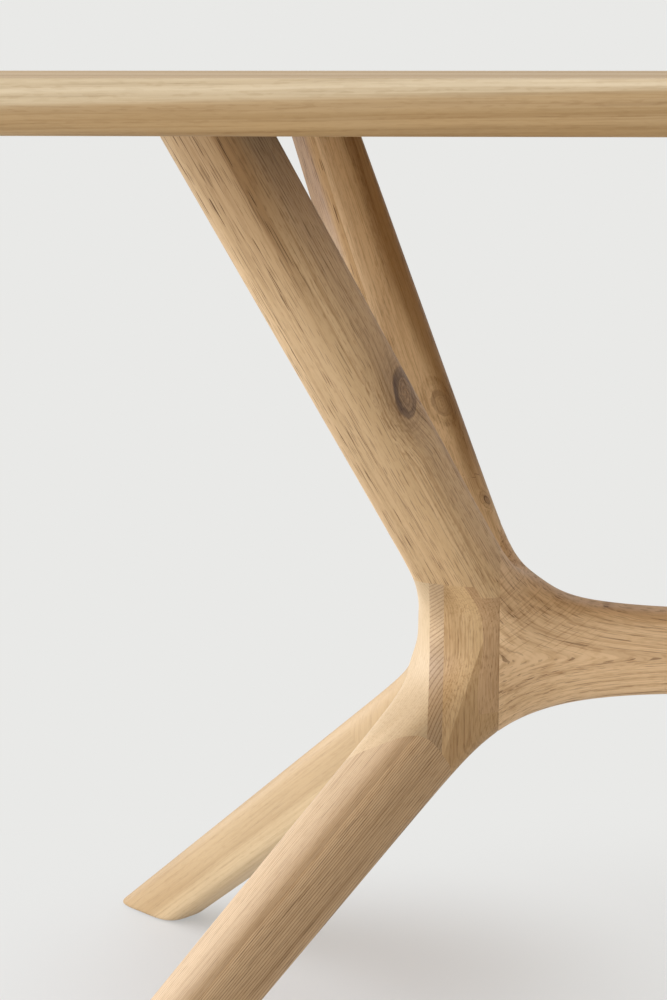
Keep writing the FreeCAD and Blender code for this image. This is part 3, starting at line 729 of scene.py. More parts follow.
def finish_surface(start, inputs):
    """The surface shader and the output."""
    shader = start.node("ShaderNodeBsdfPrincipled", None, inputs)
    start.node("ShaderNodeOutputMaterial", None, {"Surface": shader})


def tint(rgb):
    """A colour with alpha."""
    return tuple(rgb) + (1.0,)


# Ring width and slow bending in metres, then the strength of the ring bands, of the long open
# pores, of the fine fibre lines and of the broad streaks
Figure = namedtuple("Figure", "ring sway rings dashes lines streaks")

# Stains as shares of the wood's colour
RING_STAIN = (0.52, 0.43, 0.34)
LINE_STAIN = (0.72, 0.65, 0.56)
STREAK_STAIN = (0.76, 0.71, 0.62)
LIGHT_STREAK = (1.12, 1.13, 1.15)
FLECK_STAIN = (0.66, 0.57, 0.47)
HALO_STAIN = (0.62, 0.56, 0.50)
KNOT_BODY = (0.62, 0.58, 0.57)
KNOT_RIM = (0.42, 0.36, 0.34)
KNOT_CRACK = (1.45, 1.42, 1.35)

# Rates of the wood's noises per metre, along the fibres and across them; the streaks have one rate
# along the rings and one out from the heart
SWAY_RATE = (2.2, 9.0)
PORE_RATE = (33.0, 1300.0)
SPECK_RATE = (110.0, 640.0)
LINE_RATE = (5.0, 520.0)
CLOUD_RATE = (4.0, 22.0)
RAY_RATE = (34.0, 560.0)
STREAK_RATE = (0.9, 24.0, 110.0)
UNEVEN_RATE = (0.4, 90.0)
# The sway out from the heart is read this far along from the sway round it
SWAY_SHIFT = 7.0 / SWAY_RATE[0]

# Values of the noise between which each mark sets in, phases between which the band of a ring ends
# and starts, and by how many rings a slow noise shifts them
PORE_STEP = (0.645, 0.69)
SPECK_STEP = (0.50, 0.66)
LINE_STEP = (0.50, 0.66)
RAY_STEP = (0.52, 0.66)
STREAK_STEP = (0.40, 0.70)
CLOUD_STEP = (0.34, 0.66)
CRACK_STEP = (0.54, 0.60)
BAND_END = (0.03, 0.40)
BAND_START = (0.94, 1.0)
UNEVEN_RINGS = 2.0

# A knot: the weight of the run along the fibres in its round, how ragged it and its rings are and at
# what rate, how far it pushes the wood's rings aside in metres, the rate of its own rings and of its
# cracks, and where its parts set in or end; one side of the rim is weaker by a share
KNOT_SLIM = 0.36
KNOT_RAGGED, RINGS_RAGGED, RAGGED_RATE = 0.35, 9.0, 1.3
KNOT_PUSH = 0.009
KNOT_RINGS = 21.0
CRACK_RATE = (4.0, 7.0)
RIM_WEAKER = 0.65
SWIRL_EDGE = (0.3, 3.4)
HALO_EDGE = (0.9, 2.8)
BODY_EDGE = (0.95, 1.15)
RIM_EDGE = (0.50, 0.90)
CRACK_EDGE = (0.3, 0.6)
RIM_SIDE = (-0.5, 0.8)
RIM_END = (-1.6, 0.4)

# Roughness of the oiled wood, and what the pores and slow clouds add to it
OIL_ROUGH, PORE_ROUGH, CLOUD_ROUGH = 0.46, 0.2, 0.06


def noise_at(place, rate, detail=1.0, roughness=0.5):
    """Noise of a place, at one rate along its first axis, such as the fibres, and another across."""
    along, around, out = place
    return along.noise(along * rate[0], around * rate[1], out * rate[1], detail, roughness)


def oak(name, rgb, shade, pore, figure, gloss=0.25):
    """Oiled oak. Growth rings are cylinders round the heart, bent by slow noise; each begins with
    a band of long open pores; broad streaks, fine lines, crossing rays and knots vary the tone."""
    material, start = new_material(name)

    def stored(kind, output=1):
        """One of the attributes on the vertices."""
        return start.node("ShaderNodeAttribute", {"attribute_name": kind}, None, output)

    along, around, out = stored("grain").parts()
    knot_along, knot_aside, knotty = stored("knot").parts()
    fleck_along, fleck_aside, ray = stored("fleck").parts()
    tone = stored("tone", 2)
    # The knot: an eye of radius 1 across, drawn out along the fibres, which bend round it
    ragged = start.noise(knot_along * RAGGED_RATE, knot_aside * RAGGED_RATE, 0.0, 2.0)
    knot_far = (knot_along * knot_along * KNOT_SLIM + knot_aside * knot_aside).root()
    knot_far = knot_far + (ragged - 0.5) * KNOT_RAGGED
    swirl = (1.0 - knot_far.step(*SWIRL_EDGE)) * knotty
    # The rings, and a band of pores at the start of each
    sway = noise_at((along, around, out), SWAY_RATE) - 0.5
    sway_too = noise_at((along + SWAY_SHIFT, around, out), SWAY_RATE) - 0.5
    around = around + sway * figure.sway
    out = out + sway_too * figure.sway + swirl * KNOT_PUSH
    place = (along, around, out)
    radius = (around * around + out * out).root()
    uneven = start.noise(radius * UNEVEN_RATE[1], along * UNEVEN_RATE[0], 0.0)
    ring = radius / figure.ring + uneven * UNEVEN_RINGS
    phase = ring.math("FRACT", ring)
    band = (1.0 - phase.step(*BAND_END)).above(phase.step(*BAND_START))
    crowd = band * 0.5 + 0.5
    dashes = noise_at(place, PORE_RATE, 0.0).step(*PORE_STEP) * crowd * figure.dashes
    specks = noise_at(place, SPECK_RATE).step(*SPECK_STEP) * crowd * figure.lines
    lines = noise_at(place, LINE_RATE, 2.0, 0.6).step(*LINE_STEP) * figure.lines
    broad = start.noise(along * STREAK_RATE[0], around * STREAK_RATE[1], radius * STREAK_RATE[2],
                        3.0, 0.55)
    cloud = noise_at(place, CLOUD_RATE, 2.0)
    rays = start.noise(fleck_along * RAY_RATE[0], fleck_aside * RAY_RATE[1], 3.0)
    # The knot's halo of close rings, its brown body, its dark rim, stronger on one side, and cracks
    wave = knot_far * KNOT_RINGS + ragged * RINGS_RAGGED
    wave = wave.math("SINE", wave) * 0.5 + 0.5
    halo = (1.0 - knot_far.step(*HALO_EDGE)) * knotty
    body = (1.0 - knot_far.step(*BODY_EDGE)) * knotty
    rim = knot_far.step(*RIM_EDGE) * body * (1.0 - knot_aside.step(*RIM_SIDE) * RIM_WEAKER)
    cracks = start.noise(knot_along * CRACK_RATE[0], knot_aside * CRACK_RATE[1], 5.0, 3.0)
    stains = (
        (cloud.step(*CLOUD_STEP), LIGHT_STREAK),
        # The tone's darkening: heartwood, and on some pieces painted shade
        (tone * (cloud * 0.7 + 0.65), shade),
        (broad.step(*STREAK_STEP) * figure.streaks, STREAK_STAIN),
        (band * figure.rings * (cloud * 0.9 + 0.55), RING_STAIN),
        (lines, LINE_STAIN),
        (specks * 0.9, LINE_STAIN),
        (rays.step(*RAY_STEP) * ray, FLECK_STAIN),
        (halo * (wave * 0.50 + 0.30), HALO_STAIN),
        (body * (wave * 0.30 + 0.75), KNOT_BODY),
        (rim * (knot_along.step(*RIM_END) * 0.5 + 0.5), KNOT_RIM),
        (cracks.step(*CRACK_STEP) * body * (1.0 - knot_far.step(*CRACK_EDGE)), KNOT_CRACK),
        (dashes, pore),
    )
    wood = tint(rgb)
    for strength, share in stains:
        wood = strength.stain(wood, share)
    marks = dashes + specks * 0.4
    relief = start.node("ShaderNodeBump", None, {"Strength": 0.25, "Distance": 0.0005,
                                                 "Height": 1.0 - marks - lines * 0.3})
    finish_surface(start, {"Base Color": wood, "Specular IOR Level": gloss, "Normal": relief,
                           "Roughness": OIL_ROUGH + marks * PORE_ROUGH + cloud * CLOUD_ROUGH})
    return material


# Rate of the broad mottling per metre, then the values of the noise between which the two mottlings
# set in and their shares of the colour
BROAD_RATE = 60.0
FINE_STEP = (0.3, 0.7)
BROAD_STEP = (0.35, 0.65)
MOTTLE_FINE = (0.82, 0.81, 0.79)
MOTTLE_BROAD = (0.90, 0.89, 0.87)


def mottled(name, rgb, rough, rate, depth, metallic=0.0):
    """A plain finish with fine variation: two noises of the place vary the colour, the roughness
    and the relief."""
    material, start = new_material(name)
    place = start.node("ShaderNodeTexCoord", None, None, "Object").parts()
    fine = noise_at(place, (rate, rate), 3.0, 0.6)
    broad = noise_at(place, (BROAD_RATE, BROAD_RATE), 2.0)
    shade = fine.step(*FINE_STEP).stain(tint(rgb), MOTTLE_FINE)
    shade = broad.step(*BROAD_STEP).stain(shade, MOTTLE_BROAD)
    relief = start.node("ShaderNodeBump", None, {"Strength": 0.3, "Distance": depth, "Height": fine})
    finish_surface(start, {"Base Color": shade, "Metallic": metallic, "Normal": relief,
                           "Roughness": rough + (fine - 0.5) * 0.3})
    return material


# The top reflects less than the legs
TOP_GLOSS = 0.08


class OAKTABLE_OT_top(bpy.types.Operator):
    """Add the glued boards of the top"""

    bl_idname = "oaktable.top"
    bl_label = "Top boards"

    def execute(self, context):
        sizes = context.scene.oak_sizes
        colours = context.scene.oak_colours
        figure = Figure(ring=0.0065, sway=0.012, rings=0.16, dashes=0.12, lines=0.35, streaks=0.75)
        material = oak("oak_top", colours.top, colours.top_shade, colours.pore, figure, TOP_GLOSS)
        for order in range(sizes.board_count):
            add_board(sizes, order, material)
        return {"FINISHED"}


# Points along the upper arris, the edge's face, the rounds and the long sides of a board
ARRIS_POINTS, FACE_POINTS, ROUND_POINTS, SIDE_POINTS = 9, 14, 17, 49


def board_profile(sizes):
    """Inset and height of the edge from the top face to the underside: a small round, a straight
    face and a larger round."""
    arc = np.linspace(0, math.pi / 2, ARRIS_POINTS)
    top = np.stack([sizes.top_arris * (1 - np.sin(arc)),
                    sizes.top_height - sizes.top_arris * (1 - np.cos(arc))], -1)
    arc = np.linspace(0, math.pi / 2, ROUND_POINTS)
    low = sizes.top_height - sizes.top_thick
    under = np.stack([sizes.under_round * (1 - np.cos(arc)),
                      low + sizes.under_round * (1 - np.sin(arc))], -1)
    face = np.linspace(top[-1], under[0], FACE_POINTS)[1:-1]
    return np.concatenate([top, face, under])


def board_edges(sizes, order):
    """The two long edges of one board in Y."""
    wide = sizes.top_width / sizes.board_count
    low = order * wide - sizes.top_width / 2
    return low, low + wide


def board_outline(sizes, order, inset):
    """Plan of one board for each inset: a rectangle that draws in at its free edges, with arcs at
    the corners of the top and even steps along the long sides. Gives an array of insets by points
    by two."""
    first = order == 0
    last = order == sizes.board_count - 1
    inset = np.asarray(inset)[:, None]
    none = np.zeros_like(inset)
    half = sizes.top_length / 2 - inset
    low, high = board_edges(sizes, order)
    edges = {-1: low + (inset if first else none), 1: high - (inset if last else none)}
    arcs = []
    for corner, (way_x, way_y) in enumerate(((-1, -1), (1, -1), (1, 1), (-1, 1))):
        free = first if way_y < 0 else last
        radius = np.maximum(sizes.corner_round - inset, 0) if free else none
        turns = np.linspace(0, math.pi / 2, ROUND_POINTS if free else 1)
        turns = turns + math.pi * (1 + corner / 2)
        arcs.append(np.stack([way_x * (half - radius) + radius * np.cos(turns),
                              edges[way_y] - way_y * radius + radius * np.sin(turns)], -1))
    share = np.linspace(0, 1, SIDE_POINTS)[1:-1, None]
    sides = [arcs[k][:, -1:] + (arcs[k + 1][:, :1] - arcs[k][:, -1:]) * share for k in (0, 2)]
    return np.concatenate([arcs[0], sides[0], arcs[1], arcs[2], sides[1], arcs[3]], axis=1)


def sink_recess(made, sizes, centre):
    """Sinks one plate recess into the underside: cuts the flat face along the recess's four sides
    and lifts what lies inside."""
    low = sizes.top_height - sizes.top_thick
    half = (sizes.plate_long / 2 + sizes.plate_room, sizes.plate_wide / 2 + sizes.plate_room)

    def underside():
        """The faces that lie flat in the underside."""
        return [face for face in made.faces
                if max(abs(vert.co.z - low) for vert in face.verts) < NEAR]

    for axis in (0, 1):
        for way in (-1, 1):
            faces = underside()
            edges = list({edge for face in faces for edge in face.edges})
            verts = list({vert for face in faces for vert in face.verts})
            point = Vector((0, 0, low))
            point[axis] = centre[axis] + way * half[axis]
            normal = Vector((0, 0, 0))
            normal[axis] = 1
            bmesh.ops.bisect_plane(made, geom=faces + edges + verts, dist=NEAR / 10,
                                   plane_co=point, plane_no=normal)
    inside = [face for face in underside()
              if all(abs(face.calc_center_median()[axis] - centre[axis]) < half[axis]
                     for axis in (0, 1))]
    raised = bmesh.ops.extrude_discrete_faces(made, faces=inside)["faces"]
    verts = list({vert for face in raised for vert in face.verts})
    bmesh.ops.translate(made, verts=verts, vec=(0, 0, sizes.plate_thick))
    bmesh.ops.recalc_face_normals(made, faces=made.faces)
    for edge in {edge for vert in verts for edge in vert.link_edges}:
        for near in {each for vert in edge.verts for each in vert.link_edges}:
            near.smooth = False


# The front board's fibres rise along it by SAP_RISE. The line under the pale band of its edge rises with
# them and lies at a share of the thickness below the top at one place along X. The pale band is partly the
# tree's pale outer wood and partly a painted sheen; below the line the edge is partly darker wood and
# partly painted shade.
SAP_RISE, SAP_AND_SHADE_DEPTH, SAP_AND_SHADE_PLACE = 0.024, 0.45, -0.85
SAP_RADIAL = (0, 0.8, 0.6)
# Depth of a board over the heart of its tree, how far its fibres drift aside per metre, and the
# mean, the spread and the turn of its rings' lean and of its tone from board to board
BOARD_HEART, BOARD_DRIFT = 0.10, 0.004
BOARD_LEAN = (0.35, 0.3, 2.4)
BOARD_TONE = (0.50, 0.10, 1.7)


def varied(order, mean, spread, turn):
    """mean + spread * sin(order * turn)"""
    return mean + spread * math.sin(order * turn)


def board_grain(sizes, order):
    """Grain of one board; each lies at its own lean in the tree."""
    middle = (0, sum(board_edges(sizes, order)) / 2, sizes.top_height)
    if order == 0:
        return straight_grain(middle, (1, 0, SAP_RISE), SAP_RADIAL, BOARD_HEART)
    fibre = (1, BOARD_DRIFT * math.sin(order), 0)
    return straight_grain(middle, fibre, (0, varied(order, *BOARD_LEAN), 1), BOARD_HEART)


def board_tone(sizes, order):
    """A board's own tone. The front board's edge is pale above a line and darker below it: the pale band
    is partly the tree's pale outer wood and partly a painted sheen, and the darker part is partly darker
    wood and partly painted shade, most on the under round."""
    own = varied(order, *BOARD_TONE)
    sapwood_sheen_and_shade = Fade(share=0.60, start=0.002, reach=-0.004)
    # Painted shade: the edge darkens a little more as it rounds under
    under = Fade(share=0.08, start=-0.4 * sizes.top_thick, reach=-sizes.under_round)

    def tone(points):
        if order:
            return np.full(len(points), own)
        below = points[:, 2] - sizes.top_height
        line = SAP_RISE * (points[:, 0] - SAP_AND_SHADE_PLACE) - SAP_AND_SHADE_DEPTH * sizes.top_thick
        return np.where(below > -NEAR, own, sapwood_sheen_and_shade.at(below - line) + under.at(below))

    return tone


def add_board(sizes, order, material):
    """One board of the top: its plan carried along the edge profile, with recesses for plates."""
    profile = board_profile(sizes)
    plan = board_outline(sizes, order, profile[:, 0])
    heights = np.broadcast_to(profile[:, None, 1:], plan.shape[:2] + (1,))
    name = "top_board_%d" % (order + 1)
    made = grid_mesh(name, np.concatenate([plan, heights], -1))
    low, high = board_edges(sizes, order)
    for end in ENDS.values():
        for side in SIDES.values():
            centre = (-end * (hub_place(sizes) + sizes.upper_reach_x), -side * sizes.upper_reach_y)
            if low < centre[1] < high:
                sink_recess(made, sizes, centre)
    marks = {"grain": shifted(board_grain(sizes, order), 2 * order),
             "tone": board_tone(sizes, order)}
    add_piece(name, made, material, marks)
    made.free()


# The pieces of an end frame: the slot of each, then its colour and figure on the front and, apart
# from the key, which runs through, on the back
Look = namedtuple("Look", "colour figure")
OPEN_PORED = Figure(ring=0.0022, sway=0.006, rings=0.14, dashes=0.90, lines=0.45, streaks=0.50)
FINE_LINED = Figure(ring=0.0021, sway=0.005, rings=0.19, dashes=0.55, lines=0.85, streaks=0.55)
STREAKED = Figure(ring=0.0030, sway=0.008, rings=0.16, dashes=0.40, lines=0.60, streaks=0.80)
FAINT_RINGED = Figure(ring=0.0014, sway=0.001, rings=0.40, dashes=0.35, lines=0.45, streaks=0.25)
CLOSE_RINGED = Figure(ring=0.0014, sway=0.001, rings=0.90, dashes=0.50, lines=0.50, streaks=0.25)
WIDE_RINGED = Figure(ring=0.0045, sway=0.006, rings=0.08, dashes=0.12, lines=0.25, streaks=0.55)
SMOOTH = Figure(ring=0.0022, sway=0.003, rings=0.20, dashes=0.15, lines=0.25, streaks=0.25)
SMOOTH_WIDE = Figure(ring=0.0045, sway=0.003, rings=0.06, dashes=0.10, lines=0.20, streaks=0.40)
UPRIGHT = Figure(ring=0.0020, sway=0.004, rings=0.20, dashes=0.35, lines=0.60, streaks=0.45)
DENSE = Figure(ring=0.0018, sway=0.003, rings=0.22, dashes=0.40, lines=0.60, streaks=0.40)
END_GRAIN = Figure(ring=0.0026, sway=0.005, rings=0.70, dashes=0.20, lines=0.30, streaks=0.40)
LEG_LOOKS = {
    "upper_leg_outer_stave": ("oak_pale_stave", Look("upper", OPEN_PORED), Look("upper", OPEN_PORED)),
    "upper_leg_inner_stave": ("oak_brown_stave", Look("upper", FINE_LINED),
                              Look("upper_back", STREAKED)),
    "lower_leg_outer_stave": ("oak_pale_stave", Look("lower_pale", FAINT_RINGED),
                              Look("lower_back", WIDE_RINGED)),
    "lower_leg_inner_stave": ("oak_brown_stave", Look("lower", CLOSE_RINGED),
                              Look("lower_back", WIDE_RINGED)),
    "hub_cheek": ("oak_hub", Look("cheek", SMOOTH), Look("lower_back", SMOOTH_WIDE)),
    "hub_block": ("oak_hub", Look("block", UPRIGHT), Look("block", UPRIGHT)),
    "hub_wedge": ("oak_wedge", Look("wedge", DENSE), Look("wedge", DENSE)),
    "hub_key": ("oak_key", Look("key", END_GRAIN)),
}
# Depth of each piece's origin over the heart of its tree, how far beside an upper leg's axis that
# origin lies, the way out from the heart in the hubs, and the middle of the rings of the keys
UPPER_HEART, LOWER_HEART, HUB_HEART = 0.10, 0.13, 0.12
UPPER_ASIDE = 0.022
HUB_RADIAL = (1, -0.15, 0)
KEY_HEART = (0.091, 0, 0.218)
# Numbers that part the grain of one end or side of the table from the other
END_TURN, SIDE_TURN = 7, 13


def leg_grains(sizes):
    """Grain of each kind of frame piece."""
    upper, lower = leg_pair(sizes, -1)
    beside = upper.root + upper.level * UPPER_ASIDE
    upper_grain = straight_grain(beside, upper.axis, upper.steep, UPPER_HEART)
    lower_grain = straight_grain(lower.root, lower.axis, lower.level - lower.steep, LOWER_HEART)
    upright = straight_grain((0, 0, 0), UP, HUB_RADIAL, HUB_HEART)
    return {
        "upper_leg_outer_stave": upper_grain,
        "upper_leg_inner_stave": upper_grain,
        "lower_leg_outer_stave": lower_grain,
        "lower_leg_inner_stave": lower_grain,
        "hub_cheek": upright,
        "hub_block": upright,
        "hub_wedge": upright,
        "hub_key": straight_grain(KEY_HEART, (0, 1, 0), UP, 0.0),
    }


def bump(distance, middle, width):
    """A hump of height 1: exp(-((distance - middle) / width)^2)."""
    return np.exp(-((distance - middle) / width) ** 2)


def leg_tones(sizes, planes):
    """Share of dark heartwood, and on several pieces of painted shade or, against a paler colour, of
    painted light, of each kind of frame piece, on the front and on the back. Fades run over the height
    above the floor, over the run along a leg from its fork, or over the distance from a glue plane or from
    a leg's axis."""
    upper, lower = leg_pair(sizes, -1)

    def from_upper_seam(points):
        """How far points lie in front of the seam between the upper staves."""
        return height(planes["upper_seam"], points)

    def shaded_dark_head(points):
        """Dark towards the top, most beside the seam, and a little round the knot. The darkening towards
        the top is partly heartwood and partly painted shade under the top.
        """
        least, whole, round_knot = 0.08, 0.80, 0.22
        run = (points - upper.root) @ upper.axis
        beside = Fade(share=0.20, start=0.010, reach=-0.010).at(from_upper_seam(points))
        head = Fade(share=1.0, start=0.605, reach=0.115).at(points[:, 2])
        return least + round_knot * bump(run, middle=0.335, width=0.05) + (whole + beside) * head

    def shaded_brown_head(points):
        """Brown towards the top but for the outer edge, with a dark line beside the seam. The rise towards
        the top is partly browner wood and partly painted shade under the top.
        """
        least = 0.10
        seam = from_upper_seam(points)
        rise = least + Fade(share=0.42, start=0.56, reach=0.15).at(points[:, 2])
        line = Fade(share=0.45, start=0.60, reach=0.08).at(points[:, 2])
        return (rise * Fade(share=1.0, start=-0.034, reach=0.016).at(seam)
                + line * Fade(share=1.0, start=-0.0075, reach=0.003).at(seam))

    def shadowed_dark_edge(points):
        """Dark away from the seam, most at the top: partly darker wood and partly the painted shadow of
        the front upper leg.
        """
        least = 0.45
        rise = least + Fade(share=0.75, start=0.55, reach=0.14).at(points[:, 2])
        return rise * Fade(share=1.0, start=0.0, reach=-0.012).at(from_upper_seam(points))

    def shaded_dark_flank(points):
        """Dark on the side that faces the stretcher, wider towards the top and pale by the hub: partly
        darker wood and partly painted shade where that side turns up under the top.
        """
        begin = 0.005 - Fade(share=0.011, start=0.50, reach=0.10).at(points[:, 2])
        aside = (points - upper.root) @ upper.level - begin
        from_hub = Fade(share=0.90, start=0.40, reach=0.08).at(points[:, 2])
        return from_hub * Fade(share=1.0, start=0.0, reach=0.016).at(aside)

    def shaded_brown_fall(points):
        """Brown towards the seam: partly browner wood and partly painted shade where the rounded face
        turns from the lamp.
        """
        seam = height(planes["lower_seam"], points)
        return Fade(share=0.48, start=-0.023, reach=0.020).at(seam)

    def shaded_brown_low(points):
        """The same, only below the fork."""
        below = sizes.lower_fork - points[:, 2]
        return shaded_brown_fall(points) * Fade(share=1.0, start=0.0, reach=0.06).at(below)

    def shaded_upside_lit_underside(points):
        """Darker on the upper side, and a little by the foot. With the paler colour of the back lower
        staves and cheeks, this paints the floor's bounce light on their undersides.
        """
        over = (points - lower.root) @ lower.steep
        return (Fade(share=0.58, start=-0.022, reach=0.020).at(over)
                + Fade(share=0.09, start=0.09, reach=-0.05).at(points[:, 2]))

    def dark_streak(points):
        """One dark streak along the middle of the leg."""
        off = points - lower.root
        run = off @ lower.axis
        window = (Fade(share=0.5, start=0.17, reach=0.04).at(run)
                  * Fade(share=1.0, start=0.34, reach=-0.04).at(run))
        return bump(off @ lower.steep, middle=-0.009, width=0.0024) * window

    def dark_foot(points):
        """Dark past the plane of its dark side, paler before it, palest beside the wedge, where the pale
        band paints light on a surface that turns from the lamp.
        """
        dark, plain = 0.52, 0.50
        behind = np.minimum(height(planes["wedge"], points), 0)
        # Painted light: paler beside the wedge
        pale = plain * (1 - bump(behind, middle=0.0, width=0.016))
        past = Fade(share=1.0, start=-EDGE, reach=2 * EDGE).at(height(planes["dark_side"], points))
        return pale + (dark - pale) * past

    def brown(points):
        """The same all over."""
        even = 0.22
        return np.full(len(points), even)

    def dark_low(points):
        """Dark towards the lower end."""
        return Fade(share=0.40, start=0.350, reach=-0.03).at(points[:, 2])

    # Several of these tones paint shade, and with the paler back colours light, as well as heartwood
    return {
        "upper_leg_outer_stave": (shaded_brown_head, shadowed_dark_edge),
        "upper_leg_inner_stave": (shaded_dark_head, shaded_dark_flank),
        "lower_leg_outer_stave": (shaded_brown_fall, shaded_upside_lit_underside),
        "lower_leg_inner_stave": (dark_streak, shaded_upside_lit_underside),
        "hub_cheek": (shaded_brown_low, shaded_upside_lit_underside),
        "hub_block": (dark_foot, dark_foot),
        "hub_wedge": (brown, brown),
        "hub_key": (dark_low,),
    }


def leg_knots(sizes):
    """Knots of the upper inner staves, on the front and on the back."""
    upper = leg_pair(sizes, -1)[0]
    eye = Knot(run=0.2945, aside=0.0035, size=0.0128, strength=1.0)
    burl = Knot(run=0.190, aside=0.0120, size=0.0080, strength=0.40)
    pin = Knot(run=0.0896, aside=0.0234, size=0.0026, strength=0.9)
    return {"upper_leg_inner_stave": (knots_in(upper.root, upper.axis, upper.steep, [eye]),
                                      knots_in(upper.root, upper.axis, upper.level, [burl, pin]))}


class OAKTABLE_OT_end_frames(bpy.types.Operator):
    """Add the leg staves and hub pieces of both end frames"""

    bl_idname = "oaktable.end_frames"
    bl_label = "End frames"

    def execute(self, context):
        sizes = context.scene.oak_sizes
        colours = context.scene.oak_colours
        planes = joint_planes(sizes)
        grains = leg_grains(sizes)
        tones = leg_tones(sizes, planes)
        knots = leg_knots(sizes)
        for order, (kind, made) in enumerate(member_forms(sizes, planes).items()):
            slot, *looks = LEG_LOOKS[kind]
            for row, (side, look) in enumerate(zip(SIDES, looks)):
                rgb = getattr(colours, look.colour)
                material = oak("%s_%s" % (side, kind), rgb, colours.shade, colours.pore, look.figure)
                for end in ENDS:
                    turn = order + END_TURN * (end == "right") + SIDE_TURN * row
                    marks = {"grain": shifted(grains[kind], turn), "tone": tones[kind][row]}
                    if kind in knots:
                        marks["knot"] = knots[kind][row]
                    words = (end, kind) if kind == "hub_key" else (end, side, kind)
                    add_piece("_".join(words), made, material, marks,
                              (ENDS[end], SIDES[side]), -hub_place(sizes))
            made.free()
        return {"FINISHED"}


def member_forms(sizes, planes):
    """The pieces of the front member, cut from its one surface along the glue planes."""
    form = grid_mesh("member", member_rings(sizes))
    halves = (planes["middle"], planes["shoulder"])
    seam = planes["upper_seam"]
    lower_form = cut_from(form, flipped(planes["flank"]), planes["fork"], planes["middle"])
    hub_form = cut_from(form, planes["hub_top"], planes["flank"], *halves)
    cut_out(hub_form, seam, planes["inner_seat"])
    block = cut_from(hub_form, flipped(planes["key_inner"]))
    cut_out(block, planes["wedge"], planes["wedge_low"])
    dark = planes["dark_side"]
    for way in (-EDGE, EDGE):
        score(block, Plane(dark.point + dark.normal * way, dark.normal))
    key = cut_from(hub_form, flipped(planes["key_outer"]), planes["key_inner"])
    through_key(key)
    forms = {
        "upper_leg_outer_stave": cut_from(form, flipped(planes["hub_top"]), *halves, seam),
        "upper_leg_inner_stave": cut_from(form, flipped(planes["inner_seat"]), *halves,
                                          flipped(seam)),
        "lower_leg_outer_stave": cut_from(lower_form, planes["lower_seam"]),
        "lower_leg_inner_stave": cut_from(lower_form, flipped(planes["lower_seam"])),
        "hub_cheek": cut_from(hub_form, planes["key_outer"]),
        "hub_block": block,
        "hub_wedge": cut_from(hub_form, flipped(planes["wedge"]), flipped(planes["wedge_low"])),
        "hub_key": key,
    }
    for made in (form, lower_form, hub_form):
        made.free()
    return forms


def through_key(front):
    """Joins the front half of a key with its mirror image across the middle plane."""
    cap = [face for face in front.faces if max(abs(vert.co.y) for vert in face.verts) < NEAR]
    bmesh.ops.delete(front, geom=cap, context="FACES_ONLY")
    copied = bmesh.ops.duplicate(front, geom=everything(front))
    verts = [item for item in copied["geom"] if isinstance(item, bmesh.types.BMVert)]
    faces = [item for item in copied["geom"] if isinstance(item, bmesh.types.BMFace)]
    bmesh.ops.scale(front, vec=(1, -1, 1), verts=verts)
    bmesh.ops.reverse_faces(front, faces=faces)
    middle = [vert for vert in front.verts if abs(vert.co.y) < NEAR]
    bmesh.ops.remove_doubles(front, verts=middle, dist=NEAR)
    for edge in front.edges:
        if max(abs(vert.co.y) for vert in edge.verts) < NEAR:
            edge.smooth = True


class OAKTABLE_OT_stretcher(bpy.types.Operator):
    """Add the stretcher between the hubs"""

    bl_idname = "oaktable.stretcher"
    bl_label = "Stretcher"

    def execute(self, context):
        sizes = context.scene.oak_sizes
        colours = context.scene.oak_colours
        figure = Figure(ring=0.0085, sway=0.008, rings=0.26, dashes=0.60, lines=0.65, streaks=0.35)
        material = oak("oak_stretcher", colours.stretcher, colours.shade, colours.pore, figure)
        made = grid_mesh("stretcher", tie_rings(sizes))
        add_piece("stretcher", made, material, tie_marks(sizes))
        made.free()
        return {"FINISHED"}


# Half height of the stretcher's plain section for its rings, and how much and over what length the
# flare adds to it above and below the axis
TIE_HALF = 0.033
TIE_LIFT, LIFT_REACH = 0.070, 0.035
TIE_DROP, DROP_REACH = 0.020, 0.040
# The rings' distance from the heart and their spacing, the roundness of their arrow heads, how far
# and over what length these close, and the slant of the fibres across the rings
TIE_HEART, TIE_SPACING = 0.10, 1.5 * TIE_HALF
ARROW_ROUND = 0.12
ARROW_CLOSE, CLOSE_REACH = 0.6, 0.10
SLANT_ACROSS, SLANT_UP = 0.15, 0.2
FLECK_LEAN = math.radians(33)


